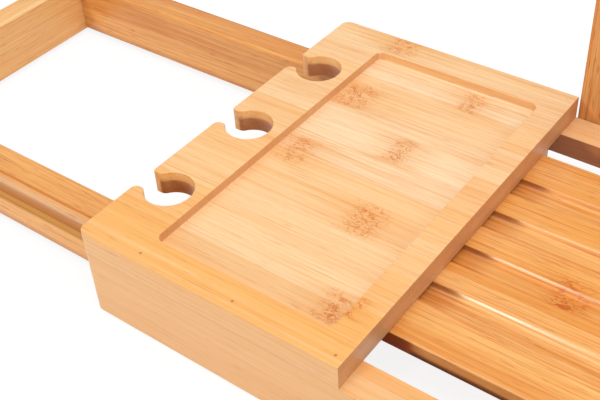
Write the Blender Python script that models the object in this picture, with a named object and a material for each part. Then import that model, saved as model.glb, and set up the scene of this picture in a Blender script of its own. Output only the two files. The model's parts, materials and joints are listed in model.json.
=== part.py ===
"""Bath caddy of bamboo that spans a bathtub, modelled as it is assembled on a bench.

Two boards sit on a front and a back apron. A fluted panel hangs under the boards and
fills the middle. At each end a U shaped arm frame slides out from under its board on
tongues that run in stopped grooves. A slatted book rest stands behind the back apron
and folds forward between the boards.

Metres, +Z up. +X runs along the caddy with the glass board on the left (-X), and +Y
points away from the bather. The origin is under the middle of the whole caddy, on the
level of its underside.
"""

import math

import bmesh
import bpy
from mathutils import Matrix, Vector

# Boards and the tray as a whole
TRAY_LENGTH = 0.665
TRAY_DEPTH = 0.220
BOARD_LENGTH = 0.147
BOARD_THICKNESS = 0.013
BOARD_CORNER_RADIUS = 0.005
BOARD_EASED_EDGE = 0.0005

# Pocket sunk in each board for a phone, a book mark or a bar of soap
POCKET_OUTER_MARGIN = 0.035
POCKET_INNER_MARGIN = 0.014
POCKET_FRONT_MARGIN = 0.016
POCKET_BACK_MARGIN = 0.018
POCKET_DEPTH = 0.005
POCKET_CORNER_RADIUS = 0.004
POCKET_FLOOR_RADIUS = 0.001

# Keyhole notches for glass stems, along the outer edge of the glass board
NOTCH_COUNT = 3
NOTCH_FRONT_MARGIN = 0.0459
NOTCH_BACK_MARGIN = 0.0505
NOTCH_INSET = 0.0163
NOTCH_RADIUS = 0.0125
NOTCH_MOUTH = 0.0126
NOTCH_FRONT_LIP_RADIUS = 0.0034
NOTCH_BACK_LIP_RADIUS = 0.0012
NOTCH_FRONT_THROAT_RADIUS = 0.0015
NOTCH_BACK_THROAT_RADIUS = 0.004

# Aprons: deep ends under the boards, and a thin span between them
APRON_HEIGHT = 0.038
APRON_THICKNESS = 0.018
APRON_FOOT_RADIUS = 0.005
APRON_EASED_EDGE = 0.0005
SPAN_HEIGHT = 0.0127
SPAN_FILLET = 0.008
DEEP_END_SETBACK = 0.0125

# Fluted panel under the boards
PANEL_EDGE_GAP = 0.0016
PANEL_THICKNESS = 0.0085
PANEL_LAP = 0.060
PANEL_EASED_EDGE = 0.001
OUTER_RIDGE_WIDTH = 0.0229
FLUTE_COUNT = 4
FLUTE_WIDTH = 0.0138
FLUTE_DEPTH = 0.0026
FLUTE_LEAN = 0.0015
FLUTE_RADIUS = 0.0026

# Sliding arm frames
ARM_THICKNESS = 0.0175
ARM_HEIGHT = 0.0352
ARM_EDGE_RADIUS = 0.002
ARM_SIDE_CLEARANCE = 0.0004
ARM_TOP_CLEARANCE = 0.0005
ARM_MEETING_GAP = 0.015
END_BAR_THICKNESS = 0.0175
END_BAR_CORNER_RADIUS = 0.005
END_BAR_EASED_EDGE = 0.001
CLOSED_GAP = 0.0005

# Stopped groove in each arm rail, and the tongue on the apron that it rides on
GROOVE_DROP = 0.0083
GROOVE_HEIGHT = 0.0118
GROOVE_DEPTH = 0.0045
GROOVE_STOP = 0.012
TONGUE_INNER_MARGIN = 0.0277
TONGUE_HOUSING = 0.003
TONGUE_CLEARANCE = 0.0004
TONGUE_END_CLEARANCE = 0.0003
TONGUE_EASED_EDGE = 0.0005

# Dowels that join each arm rail to its end bar
DOWEL_RADIUS = 0.003
DOWEL_LENGTH = 0.022
DOWEL_CHAMFER = 0.0006
DOWEL_HEIGHT_SHARES = (0.22, 0.78)

# Rubber grip pads under the arm rails
PAD_LENGTH = 0.045
PAD_WIDTH = 0.009
PAD_CORNER_RADIUS = 0.004
PAD_SETBACK = 0.010

# Book rest
REST_SIDE_GAP = 0.0005
REST_FRONT_MARGIN = 0.012
POST_WIDTH = 0.018
POST_THICKNESS = 0.012
POST_TOP_RADIUS = 0.007
POST_HEEL_RADIUS = 0.002
REST_EASED_EDGE = 0.0009
PIVOT_DEPTH = 0.005
FOLDED_GAP = 0.0005
CREST_HEIGHT = 0.024
FOOT_RAIL_HEIGHT = 0.020
FOOT_RAIL_LIFT = 0.009
SLAT_COUNT = 3
SLAT_HEIGHT = 0.022
SLAT_THICKNESS = 0.008
SLAT_SETBACK = 0.002
TENON_LENGTH = 0.008
TENON_SHOULDER = 0.003

# Hinge of the book rest: a bent steel bracket and a pivot pin at each post
BRACKET_LENGTH = 0.034
BRACKET_THICKNESS = 0.0015
BRACKET_EDGE_MARGIN = 0.0006
EAR_RADIUS = 0.0065
PIN_RADIUS = 0.002
PIN_CLEARANCE = 0.0002
PIN_GRIP = 0.012
PIN_HEAD_RADIUS = 0.0038
PIN_HEAD_HEIGHT = 0.0014

# Screws and brads
BRACKET_SCREW_RADIUS = 0.0014
BRACKET_SCREW_LENGTH = 0.011
BRACKET_SCREW_HEAD_RADIUS = 0.0029
BRACKET_SCREW_HEAD_HEIGHT = 0.0015
BRACKET_SCREW_SHARES = (0.3, 0.78)
PANEL_SCREW_RADIUS = 0.0017
PANEL_SCREW_LENGTH = 0.016
PANEL_SCREW_HEAD_RADIUS = 0.0036
PANEL_SCREW_HEAD_HEIGHT = 0.0024
PANEL_SCREW_SIDE_MARGIN = 0.028
BRAD_RADIUS = 0.0008
BRAD_LENGTH = 0.023
BRAD_SINK = 0.0003
BRAD_EDGE_MARGIN = 0.005
BRAD_INNER_MARGIN = 0.0045
BRAD_OUTER_MARGIN = 0.0361
BRAD_COUNT = 3

# Fits shared by the whole caddy
SEAT_GAP = 0.0003
OVERRUN = 0.005

# Numbers of segments
CORNER_STEPS = 5
NOTCH_STEPS = 22
EDGE_STEPS = 2
ROUND_SIDES = 16
BRAD_SIDES = 8

# Levels, front to back and bottom to top
REST_OVERHANG = SEAT_GAP + POST_THICKNESS
FRONT = -(TRAY_DEPTH + REST_OVERHANG) / 2
BACK = FRONT + TRAY_DEPTH
MIDDLE = (FRONT + BACK) / 2
BOARD_UNDERSIDE = APRON_HEIGHT
BOARD_TOP = BOARD_UNDERSIDE + BOARD_THICKNESS
SEAT_LEVEL = BOARD_UNDERSIDE - SEAT_GAP
SPAN_BOTTOM = BOARD_UNDERSIDE - SPAN_HEIGHT
ARM_TOP = BOARD_UNDERSIDE - ARM_TOP_CLEARANCE
ARM_BOTTOM = ARM_TOP - ARM_HEIGHT
ARM_MIDDLE = (ARM_TOP + ARM_BOTTOM) / 2

# Stations along the caddy, counted outwards from its middle, the same on both sides
OUTER = TRAY_LENGTH / 2
INNER = OUTER - BOARD_LENGTH
PANEL_END = INNER + PANEL_LAP
RAIL_LENGTH = OUTER - ARM_MEETING_GAP / 2
TONGUE_SETBACK = GROOVE_STOP + TONGUE_END_CLEARANCE - CLOSED_GAP
TONGUE_OUTER = OUTER - TONGUE_SETBACK
TONGUE_INNER = INNER + TONGUE_INNER_MARGIN
RAIL_INNER = TONGUE_INNER - TONGUE_END_CLEARANCE - GROOVE_STOP
BAR_INNER = RAIL_INNER + RAIL_LENGTH
ARM_TRAVEL = BAR_INNER - OUTER - CLOSED_GAP
BRAD_PITCH = (BOARD_LENGTH - BRAD_INNER_MARGIN - BRAD_OUTER_MARGIN) / (BRAD_COUNT - 1)

# Stations across the caddy, counted inwards from its front or back face
RAIL_OUTER_FACE = APRON_THICKNESS + ARM_SIDE_CLEARANCE
RAIL_INNER_FACE = RAIL_OUTER_FACE + ARM_THICKNESS
PANEL_FACE = RAIL_INNER_FACE + PANEL_EDGE_GAP

# Depth of the panel between the arm rails, and what is spread evenly from front to back
PANEL_DEPTH = TRAY_DEPTH - 2 * PANEL_FACE
FLUTE_PITCH = (PANEL_DEPTH - 2 * OUTER_RIDGE_WIDTH - FLUTE_WIDTH) / (FLUTE_COUNT - 1)
NOTCH_PITCH = (TRAY_DEPTH - NOTCH_FRONT_MARGIN - NOTCH_BACK_MARGIN) / (NOTCH_COUNT - 1)

# Tongue and groove heights
GROOVE_TOP = ARM_TOP - GROOVE_DROP
GROOVE_BOTTOM = GROOVE_TOP - GROOVE_HEIGHT

# Book rest stations
POST_FRONT = BACK + SEAT_GAP
POST_BACK = POST_FRONT + POST_THICKNESS
PIVOT_Y = POST_FRONT + PIVOT_DEPTH
PIVOT_Z = BOARD_UNDERSIDE + FOLDED_GAP + PIVOT_DEPTH
POST_OUTER = INNER - REST_SIDE_GAP
POST_INNER = POST_OUTER - POST_WIDTH
REST_TOP = PIVOT_Z + (PIVOT_Y - FRONT) - REST_FRONT_MARGIN
FOOT_RAIL_BOTTOM = PIVOT_Z + FOOT_RAIL_LIFT
CREST_BOTTOM = REST_TOP - CREST_HEIGHT
REST_BAR_HALF = POST_INNER - SEAT_GAP
EAR_OUTER = POST_INNER - SEAT_GAP
EAR_INNER = EAR_OUTER - BRACKET_THICKNESS

SIDES = (("left", -1), ("right", 1))
ROWS = (("front", FRONT, 1), ("back", BACK, -1))


def clear_scene():
    """Remove whatever the scene holds."""
    for obj in list(bpy.data.objects):
        bpy.data.objects.remove(obj, do_unlink=True)


def material(name, colour, roughness, metallic=0.0):
    """A Principled material of one colour."""
    mat = bpy.data.materials.new(name)
    mat.use_nodes = True
    shader = mat.node_tree.nodes["Principled BSDF"]
    shader.inputs["Base Color"].default_value = (*colour, 1.0)
    shader.inputs["Roughness"].default_value = roughness
    shader.inputs["Metallic"].default_value = metallic
    mat.diffuse_color = (*colour, 1.0)
    return mat


def arc(centre, radius, start, end, steps):
    """Points on a circle from one angle to another, both ends included."""
    turns = [start + (end - start) * i / steps for i in range(steps + 1)]
    return [(centre[0] + radius * math.cos(a), centre[1] + radius * math.sin(a)) for a in turns]


def rounded(corners, steps=CORNER_STEPS):
    """Outline through corners (a, b, radius), each turned into an arc of its radius.

    A radius is held to what the two edges that meet at its corner leave for it.
    """
    points = []
    for i, (a, b, radius) in enumerate(corners):
        here = Vector((a, b))
        last, following = corners[i - 1], corners[(i + 1) % len(corners)]
        before, after = Vector(last[:2]) - here, Vector(following[:2]) - here
        if not radius:
            points.append((a, b))
            continue
        opening = before.angle(after)
        room = [edge.length / (2 if other[2] else 1) for edge, other in ((before, last), (after, following))]
        reach = min(radius / math.tan(opening / 2), *room)
        radius = reach * math.tan(opening / 2)
        centre = here + (before.normalized() + after.normalized()).normalized() * (
            radius / math.sin(opening / 2))
        first = here + before.normalized() * reach - centre
        last = here + after.normalized() * reach - centre
        start = math.atan2(first.y, first.x)
        sweep = math.atan2(first.x * last.y - first.y * last.x, first.dot(last))
        points += arc(centre, radius, start, start + sweep, steps)
    return points


def rectangle(low, high, radius=0.0):
    """Corners of a rectangle, all with one radius."""
    return [(low[0], low[1], radius), (high[0], low[1], radius),
            (high[0], high[1], radius), (low[0], high[1], radius)]


AXES = {
    "x": lambda a, b, depth: Vector((depth, a, b)),
    "y": lambda a, b, depth: Vector((a, depth, b)),
    "z": lambda a, b, depth: Vector((a, b, depth)),
}


def solid(name, bm, finish, origin=(0, 0, 0), parent=None):
    """Turn a bmesh drawn in world places into an object whose origin is at origin."""
    bmesh.ops.remove_doubles(bm, verts=bm.verts, dist=SEAT_GAP / 100)
    bmesh.ops.recalc_face_normals(bm, faces=bm.faces)
    bmesh.ops.translate(bm, verts=bm.verts, vec=-Vector(origin))
    mesh = bpy.data.meshes.new(name)
    bm.to_mesh(mesh)
    bm.free()
    mesh.shade_smooth()
    mesh.set_sharp_from_angle(angle=math.radians(30))
    obj = bpy.data.objects.new(name, mesh)
    bpy.context.scene.collection.objects.link(obj)
    obj.location = origin
    if parent:
        obj.parent = parent
        obj.location = Vector(origin) - parent.location
    if finish:
        mesh.materials.append(finish)
    return obj


def prism_mesh(bm, outline, axis, low, high):
    """Extrude an outline along an axis into a bmesh, from low to high."""
    place = AXES[axis]
    face = bm.faces.new([bm.verts.new(place(a, b, low)) for a, b in outline])
    grown = bmesh.ops.extrude_face_region(bm, geom=[face])
    moved = [item for item in grown["geom"] if isinstance(item, bmesh.types.BMVert)]
    bmesh.ops.translate(bm, verts=moved, vec=place(0, 0, high - low))


def prism(name, outline, axis, low, high, finish=None, **where):
    """An extruded outline as an object."""
    bm = bmesh.new()
    prism_mesh(bm, outline, axis, low, high)
    return solid(name, bm, finish, **where)


def turned_mesh(bm, profile, start, direction, sides):
    """Revolve a profile of (distance along, radius) about a line, closed at both ends."""
    turn = Vector((0, 0, 1)).rotation_difference(Vector(direction)).to_matrix().to_4x4()
    place = Matrix.Translation(start) @ turn
    rings = []
    for along, radius in profile:
        ring = [place @ Vector((x, y, along)) for x, y in arc((0, 0), radius, 0, math.tau, sides)[:-1]]
        rings.append([bm.verts.new(p) for p in ring])
    for lower, upper in zip(rings, rings[1:]):
        for i in range(sides):
            j = (i + 1) % sides
            bm.faces.new((lower[i], lower[j], upper[j], upper[i]))
    bm.faces.new(rings[0])
    bm.faces.new(rings[-1])


def turned(name, profile, start, direction, finish, sides=ROUND_SIDES, **where):
    """A revolved profile as an object."""
    bm = bmesh.new()
    turned_mesh(bm, profile, start, direction, sides)
    return solid(name, bm, finish, **where)


def drill(name, holes, sides=ROUND_SIDES):
    """One cutter for several round holes, each (start, direction, radius, length)."""
    bm = bmesh.new()
    for start, direction, radius, length in holes:
        turned_mesh(bm, [(0, radius), (length, radius)], start, direction, sides)
    return hidden(solid(name, bm, None))


def hidden(cutter):
    """Mark an object as a cutter, which is no part of the caddy."""
    cutter.hide_render = True
    cutter.display_type = "WIRE"
    return cutter


def ease_edges(obj, width, segments=EDGE_STEPS):
    """Round every sharp edge of an object a little, as sanding does."""
    mod = obj.modifiers.new("eased_edges", "BEVEL")
    mod.width = width
    mod.segments = segments
    mod.limit_method = "ANGLE"
    mod.angle_limit = math.radians(40)
    return obj


def combine(obj, other, operation):
    """Join an object with a hidden one, or keep only what both share, or take it out."""
    mod = obj.modifiers.new(other.name, "BOOLEAN")
    mod.operation = operation
    mod.solver = "EXACT"
    mod.object = other
    return obj


def cut(obj, cutter):
    """Take a cutter's shape out of an object."""
    return combine(obj, cutter, "DIFFERENCE")


def from_face(face, inward, distance):
    """Place at a distance inwards from the front or back face."""
    return face + inward * distance


def span(one, other):
    """Two places in rising order."""
    return min(one, other), max(one, other)


def notch_outline(side, centre):
    """One keyhole notch, from its front lip round the hole to its back lip.

    A throat arc rounds the corner between the mouth and the hole: it touches both, so its
    centre lies its radius away from the mouth's side and from the hole's edge.
    """
    half = NOTCH_MOUTH / 2
    hole = OUTER - NOTCH_INSET
    turns, throats = [], []
    for way, radius in ((-1, NOTCH_FRONT_THROAT_RADIUS), (1, NOTCH_BACK_THROAT_RADIUS)):
        turn = math.asin((half + radius) / (NOTCH_RADIUS + radius))
        middle = (hole + (NOTCH_RADIUS + radius) * math.cos(turn), centre + way * (half + radius))
        throats.append(arc(middle, radius, -way * math.pi / 2, way * (turn - math.pi), CORNER_STEPS))
        turns.append(turn)
    rim = arc((hole, centre), NOTCH_RADIUS, -turns[0], turns[1] - math.tau, NOTCH_STEPS)
    points = throats[0][:-1] + rim + throats[1][-2::-1]
    return ([(side * OUTER, centre - half, NOTCH_FRONT_LIP_RADIUS)] + [(side * u, y, 0) for u, y in points]
            + [(side * OUTER, centre + half, NOTCH_BACK_LIP_RADIUS)])


def pocket_cutter(name, side):
    """The shallow pocket, with a small radius round its floor."""
    left, right = span(side * (INNER + POCKET_INNER_MARGIN), side * (OUTER - POCKET_OUTER_MARGIN))
    outline = rounded(rectangle((left, FRONT + POCKET_FRONT_MARGIN),
                                (right, BACK - POCKET_BACK_MARGIN), POCKET_CORNER_RADIUS))
    cutter = prism(name + "_pocket", outline, "z", BOARD_TOP - POCKET_DEPTH, BOARD_TOP + OVERRUN)
    return hidden(ease_edges(cutter, POCKET_FLOOR_RADIUS))


def brad_places(side):
    """Places of the brads that hold one board on the aprons."""
    places = []
    for row, face, inward in ROWS:
        for i in range(BRAD_COUNT):
            x = side * (INNER + BRAD_INNER_MARGIN + i * BRAD_PITCH)
            places.append((f"brad_{row}", i + 1, x, from_face(face, inward, BRAD_EDGE_MARGIN)))
    return places


def panel_screw_places(side):
    """Places of the screws that hold the panel under one board."""
    x = side * (INNER + POCKET_INNER_MARGIN / 2)
    reach = PANEL_DEPTH / 2 - PANEL_SCREW_SIDE_MARGIN
    return [(x, MIDDLE - reach), (x, MIDDLE + reach)]


def board(name, side, notched, finish):
    """A board on the aprons, with its pocket and, on the glass board, its notches."""
    corners = [(side * INNER, FRONT, 0), (side * OUTER, FRONT, BOARD_CORNER_RADIUS)]
    if notched:
        for i in range(NOTCH_COUNT):
            corners += notch_outline(side, FRONT + NOTCH_FRONT_MARGIN + i * NOTCH_PITCH)
    corners += [(side * OUTER, BACK, BOARD_CORNER_RADIUS), (side * INNER, BACK, 0)]
    origin = (side * (INNER + OUTER) / 2, MIDDLE, BOARD_UNDERSIDE)
    obj = prism(name, rounded(corners), "z", BOARD_UNDERSIDE, BOARD_TOP, finish, origin=origin)
    ease_edges(obj, BOARD_EASED_EDGE)
    cut(obj, pocket_cutter(name, side))
    start = BOARD_UNDERSIDE - OVERRUN
    through = BOARD_THICKNESS + OVERRUN + OVERRUN
    brad_holes = [((x, y, start), (0, 0, 1), BRAD_RADIUS + SEAT_GAP, through)
                  for row, number, x, y in brad_places(side)]
    cut(obj, drill(name + "_brad_holes", brad_holes, BRAD_SIDES))
    depth = PANEL_SCREW_LENGTH - PANEL_THICKNESS + SEAT_GAP
    screw_holes = [((x, y, start), (0, 0, 1), PANEL_SCREW_RADIUS + SEAT_GAP, OVERRUN + depth)
                   for x, y in panel_screw_places(side)]
    return cut(obj, drill(name + "_screw_holes", screw_holes))


def tongue_box(side, face, inward, clearance):
    """Low and high corner of a tongue, or of its housing when grown by a clearance."""
    x = span(side * (TONGUE_INNER - clearance), side * (TONGUE_OUTER + clearance))
    reach = RAIL_OUTER_FACE + GROOVE_DEPTH - TONGUE_CLEARANCE
    root = APRON_THICKNESS - TONGUE_HOUSING - clearance
    y = span(from_face(face, inward, root), from_face(face, inward, reach))
    low = GROOVE_BOTTOM + TONGUE_CLEARANCE - clearance
    high = GROOVE_TOP - TONGUE_CLEARANCE + clearance
    return (x[0], y[0], low), (x[1], y[1], high)


def apron_outline():
    """Front view of an apron: two deep ends joined by a thin span along the top."""
    deep, end = INNER + DEEP_END_SETBACK, OUTER + OVERRUN
    return rounded([
        (-end, 0, 0), (-deep, 0, APRON_FOOT_RADIUS), (-deep, SPAN_BOTTOM, SPAN_FILLET),
        (deep, SPAN_BOTTOM, SPAN_FILLET), (deep, 0, APRON_FOOT_RADIUS), (end, 0, 0),
        (end, SEAT_LEVEL, 0), (-end, SEAT_LEVEL, 0)])


def apron_plan(name, face, inner):
    """Top view of an apron, whose outer corners are as round as those of the boards."""
    outline = rounded([(-OUTER, face, BOARD_CORNER_RADIUS), (OUTER, face, BOARD_CORNER_RADIUS),
                       (OUTER, inner, 0), (-OUTER, inner, 0)])
    return hidden(prism(name + "_plan", outline, "z", -OVERRUN, SEAT_LEVEL + OVERRUN))


def apron(row, face, inward, finish):
    """A front or back apron with the housings for its tongues and the holes for its brads."""
    inner = from_face(face, inward, APRON_THICKNESS)
    low, high = span(face, inner)
    name = row + "_apron"
    obj = prism(name, apron_outline(), "y", low - OVERRUN, high + OVERRUN, finish,
                origin=(0, (low + high) / 2, 0))
    combine(obj, apron_plan(name, face, inner), "INTERSECT")
    ease_edges(obj, APRON_EASED_EDGE)
    housings = bmesh.new()
    brad_holes = []
    start = BOARD_TOP - BRAD_SINK - BRAD_LENGTH - SEAT_GAP
    for side_name, side in SIDES:
        first, last = tongue_box(side, face, inward, SEAT_GAP)
        outline = rounded(rectangle((first[0], first[2]), (last[0], last[2])))
        prism_mesh(housings, outline, "y", first[1], last[1])
        for kind, number, x, y in brad_places(side):
            if kind == "brad_" + row:
                brad_holes.append(((x, y, start), (0, 0, 1), BRAD_RADIUS + SEAT_GAP,
                                   BOARD_TOP - start))
    cut(obj, hidden(solid(name + "_housings", housings, None)))
    cut(obj, drill(name + "_brad_holes", brad_holes, BRAD_SIDES))
    if row == "back":
        holes = []
        for side_name, side in SIDES:
            for x, z in bracket_screw_places(side):
                holes.append(((x, BACK + OVERRUN, z), (0, -1, 0), BRACKET_SCREW_RADIUS + SEAT_GAP,
                              OVERRUN + BRACKET_SCREW_LENGTH))
        cut(obj, drill(name + "_screw_holes", holes))
    return obj


def tongue(name, side, face, inward, finish):
    """The strip on an apron that an arm rail's groove rides on."""
    low, high = tongue_box(side, face, inward, 0)
    outline = rounded(rectangle((low[1], low[2]), (high[1], high[2])))
    centre = [(a + b) / 2 for a, b in zip(low, high)]
    return ease_edges(prism(name, outline, "x", low[0], high[0], finish, origin=centre),
                      TONGUE_EASED_EDGE, 1)


def panel_outline():
    """End view of the fluted panel, from its front bottom corner round over the flutes."""
    bottom = SEAT_LEVEL - PANEL_THICKNESS
    half = PANEL_DEPTH / 2
    floor = SEAT_LEVEL - FLUTE_DEPTH
    eased = PANEL_EASED_EDGE
    corners = [(MIDDLE + half, bottom, eased), (MIDDLE + half, SEAT_LEVEL, eased)]
    for i in reversed(range(FLUTE_COUNT)):
        flute = MIDDLE + (i - (FLUTE_COUNT - 1) / 2) * FLUTE_PITCH
        back, front = flute + FLUTE_WIDTH / 2, flute - FLUTE_WIDTH / 2
        corners += [(back, SEAT_LEVEL, eased / 2), (back - FLUTE_LEAN, floor, FLUTE_RADIUS),
                    (front + FLUTE_LEAN, floor, FLUTE_RADIUS), (front, SEAT_LEVEL, eased / 2)]
    corners += [(MIDDLE - half, SEAT_LEVEL, eased), (MIDDLE - half, bottom, eased)]
    return rounded(corners, EDGE_STEPS + 1)


def panel_screw_profile(grown=0.0):
    """Countersunk wood screw from its head down, or its hole when grown by a gap."""
    return [(0, PANEL_SCREW_HEAD_RADIUS + grown), (PANEL_SCREW_HEAD_HEIGHT, PANEL_SCREW_RADIUS + grown),
            (PANEL_SCREW_LENGTH - PANEL_SCREW_RADIUS, PANEL_SCREW_RADIUS + grown),
            (PANEL_SCREW_LENGTH, PANEL_SCREW_RADIUS / 2 + grown)]


def slat_panel(finish):
    """The fluted panel that hangs under both boards."""
    obj = prism("slat_panel", panel_outline(), "x", -PANEL_END, PANEL_END, finish,
                origin=(0, MIDDLE, SEAT_LEVEL))
    holes = bmesh.new()
    for side_name, side in SIDES:
        for x, y in panel_screw_places(side):
            start = (x, y, SEAT_LEVEL - PANEL_THICKNESS - OVERRUN)
            mouth = [(0, PANEL_SCREW_HEAD_RADIUS + SEAT_GAP)]
            below = [(along + OVERRUN, radius) for along, radius in panel_screw_profile(SEAT_GAP)]
            turned_mesh(holes, mouth + below, start, (0, 0, 1), ROUND_SIDES)
    return cut(obj, hidden(solid("slat_panel_screw_holes", holes, None)))


def frame_origin(name, place):
    """An empty on a joint's axis, which the pieces that move together hang from."""
    empty = bpy.data.objects.new(name, None)
    bpy.context.scene.collection.objects.link(empty)
    empty.empty_display_size = TRAY_DEPTH / 4
    empty.location = place
    return empty


def dowel_places(face, inward):
    """Heights and depth of the dowels in one corner of an arm frame."""
    y = from_face(face, inward, RAIL_OUTER_FACE + (GROOVE_DEPTH + ARM_THICKNESS) / 2)
    return [(y, ARM_BOTTOM + ARM_HEIGHT * share) for share in DOWEL_HEIGHT_SHARES]


def arm_frame(side_name, side, bamboo, dowel_wood, rubber):
    """A sliding frame: two grooved rails, the end bar, its dowels and the rubber pads."""
    empty = frame_origin(side_name + "_arm_slide", (side * OUTER, MIDDLE, ARM_MIDDLE))
    where = {"parent": empty}
    dowel_holes = {}
    for row, face, inward in ROWS:
        holes = []
        for number, (y, z) in enumerate(dowel_places(face, inward), 1):
            start = (side * (BAR_INNER - DOWEL_LENGTH / 2), y, z)
            taper = [(0, DOWEL_RADIUS - DOWEL_CHAMFER), (DOWEL_CHAMFER, DOWEL_RADIUS),
                     (DOWEL_LENGTH - DOWEL_CHAMFER, DOWEL_RADIUS),
                     (DOWEL_LENGTH, DOWEL_RADIUS - DOWEL_CHAMFER)]
            turned(f"{side_name}_arm_{row}_dowel_{number}", taper, start, (side, 0, 0), dowel_wood,
                   BRAD_SIDES, origin=start, **where)
            seat = (start[0] - side * SEAT_GAP, y, z)
            holes.append((seat, (side, 0, 0), DOWEL_RADIUS + SEAT_GAP, DOWEL_LENGTH + 2 * SEAT_GAP))
        dowel_holes[row] = drill(f"{side_name}_arm_{row}_dowel_holes", holes, BRAD_SIDES)

    for row, face, inward in ROWS:
        y = span(from_face(face, inward, RAIL_OUTER_FACE), from_face(face, inward, RAIL_INNER_FACE))
        outline = rounded(rectangle((y[0], ARM_BOTTOM), (y[1], ARM_TOP), ARM_EDGE_RADIUS), EDGE_STEPS + 1)
        x = span(side * RAIL_INNER, side * (BAR_INNER - SEAT_GAP))
        name = f"{side_name}_arm_{row}_rail"
        rail = prism(name, outline, "x", x[0], x[1], bamboo,
                     origin=(side * RAIL_INNER, sum(y) / 2, ARM_MIDDLE), **where)
        groove_x = span(side * (RAIL_INNER + GROOVE_STOP), side * (BAR_INNER - GROOVE_STOP))
        groove_y = span(from_face(face, inward, RAIL_OUTER_FACE - OVERRUN),
                        from_face(face, inward, RAIL_OUTER_FACE + GROOVE_DEPTH))
        groove = rounded(rectangle((groove_y[0], GROOVE_BOTTOM), (groove_y[1], GROOVE_TOP)))
        cut(rail, hidden(prism(name + "_groove", groove, "x", groove_x[0], groove_x[1])))
        cut(rail, dowel_holes[row])
        arm_pad(f"{side_name}_arm_{row}_pad", side, sum(y) / 2, rubber, empty)

    x_in, x_out = side * BAR_INNER, side * (BAR_INNER + END_BAR_THICKNESS)
    low, high = FRONT + RAIL_OUTER_FACE, BACK - RAIL_OUTER_FACE
    radius = END_BAR_CORNER_RADIUS
    outline = rounded([(x_in, low, 0), (x_out, low, radius), (x_out, high, radius), (x_in, high, 0)])
    bar = prism(side_name + "_arm_end_bar", outline, "z", ARM_BOTTOM, ARM_TOP, bamboo,
                origin=(x_in, MIDDLE, ARM_MIDDLE), **where)
    ease_edges(bar, END_BAR_EASED_EDGE)
    for cutter in dowel_holes.values():
        cut(bar, cutter)


def arm_pad(name, side, y, rubber, parent):
    """A rubber grip pad under an arm rail, level with the underside of the aprons."""
    x = span(side * (BAR_INNER - PAD_SETBACK), side * (BAR_INNER - PAD_SETBACK - PAD_LENGTH))
    outline = rounded(rectangle((x[0], y - PAD_WIDTH / 2), (x[1], y + PAD_WIDTH / 2), PAD_CORNER_RADIUS))
    return prism(name, outline, "z", 0, ARM_BOTTOM - SEAT_GAP, rubber,
                 origin=(sum(x) / 2, y, 0), parent=parent)


def rest_bars():
    """Cross bars of the book rest: name, bottom, height, front face and thickness."""
    bars = [("rest_foot_rail", FOOT_RAIL_BOTTOM, FOOT_RAIL_HEIGHT, POST_FRONT, POST_THICKNESS),
            ("rest_crest_rail", CREST_BOTTOM, CREST_HEIGHT, POST_FRONT, POST_THICKNESS)]
    clear = CREST_BOTTOM - (FOOT_RAIL_BOTTOM + FOOT_RAIL_HEIGHT)
    gap = (clear - SLAT_COUNT * SLAT_HEIGHT) / (SLAT_COUNT + 1)
    for i in range(SLAT_COUNT):
        bottom = FOOT_RAIL_BOTTOM + FOOT_RAIL_HEIGHT + gap + i * (SLAT_HEIGHT + gap)
        bars.append((f"rest_slat_{i + 1}", bottom, SLAT_HEIGHT, POST_FRONT + SLAT_SETBACK, SLAT_THICKNESS))
    return bars


def rest_bar(name, bottom, height, front, thickness, finish, parent):
    """A cross bar with a stub tenon at each end."""
    body, tip = REST_BAR_HALF, REST_BAR_HALF + TENON_LENGTH
    low, high = bottom + TENON_SHOULDER, bottom + height - TENON_SHOULDER
    outline = [(-body, bottom), (body, bottom), (body, low), (tip, low), (tip, high), (body, high),
               (body, bottom + height), (-body, bottom + height), (-body, high), (-tip, high),
               (-tip, low), (-body, low)]
    back = front + thickness
    inset = TENON_SHOULDER if thickness > SLAT_THICKNESS else 0
    obj = prism(name, outline, "y", front, back, finish, origin=(0, front, bottom), parent=parent)
    if inset:
        cheeks = bmesh.new()
        for side_name, side in SIDES:
            x = span(side * body, side * (tip + OVERRUN))
            for y in ((front - OVERRUN, front + inset), (back - inset, back + OVERRUN)):
                shape = rectangle((x[0], bottom - OVERRUN), (x[1], bottom + height + OVERRUN))
                prism_mesh(cheeks, rounded(shape), "y", y[0], y[1])
        cut(obj, hidden(solid(name + "_cheeks", cheeks, None)))
    return obj


def post(side_name, side, finish, parent):
    """A post of the book rest with its mortises and the bore for its pivot pin."""
    x_out, x_in = side * POST_OUTER, side * POST_INNER
    outline = rounded([(x_in, SPAN_BOTTOM, POST_HEEL_RADIUS), (x_out, SPAN_BOTTOM, POST_HEEL_RADIUS),
                       (x_out, REST_TOP, POST_TOP_RADIUS), (x_in, REST_TOP, 0)])
    name = side_name + "_rest_post"
    obj = prism(name, outline, "y", POST_FRONT, POST_BACK, finish,
                origin=(x_in, PIVOT_Y, PIVOT_Z), parent=parent)
    ease_edges(obj, REST_EASED_EDGE)
    mortises = bmesh.new()
    for bar_name, bottom, height, front, thickness in rest_bars():
        inset = TENON_SHOULDER if thickness > SLAT_THICKNESS else 0
        x = span(x_in - side * OVERRUN, side * (REST_BAR_HALF + TENON_LENGTH + SEAT_GAP))
        shape = rectangle((x[0], bottom + TENON_SHOULDER - SEAT_GAP),
                          (x[1], bottom + height - TENON_SHOULDER + SEAT_GAP))
        prism_mesh(mortises, rounded(shape), "y", front + inset - SEAT_GAP,
                   front + thickness - inset + SEAT_GAP)
    cut(obj, hidden(solid(name + "_mortises", mortises, None)))
    bore = ((x_in - side * OVERRUN, PIVOT_Y, PIVOT_Z), (side, 0, 0), PIN_RADIUS + PIN_CLEARANCE,
            OVERRUN + PIN_GRIP + SEAT_GAP)
    return cut(obj, drill(name + "_pin_bore", [bore]))


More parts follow.
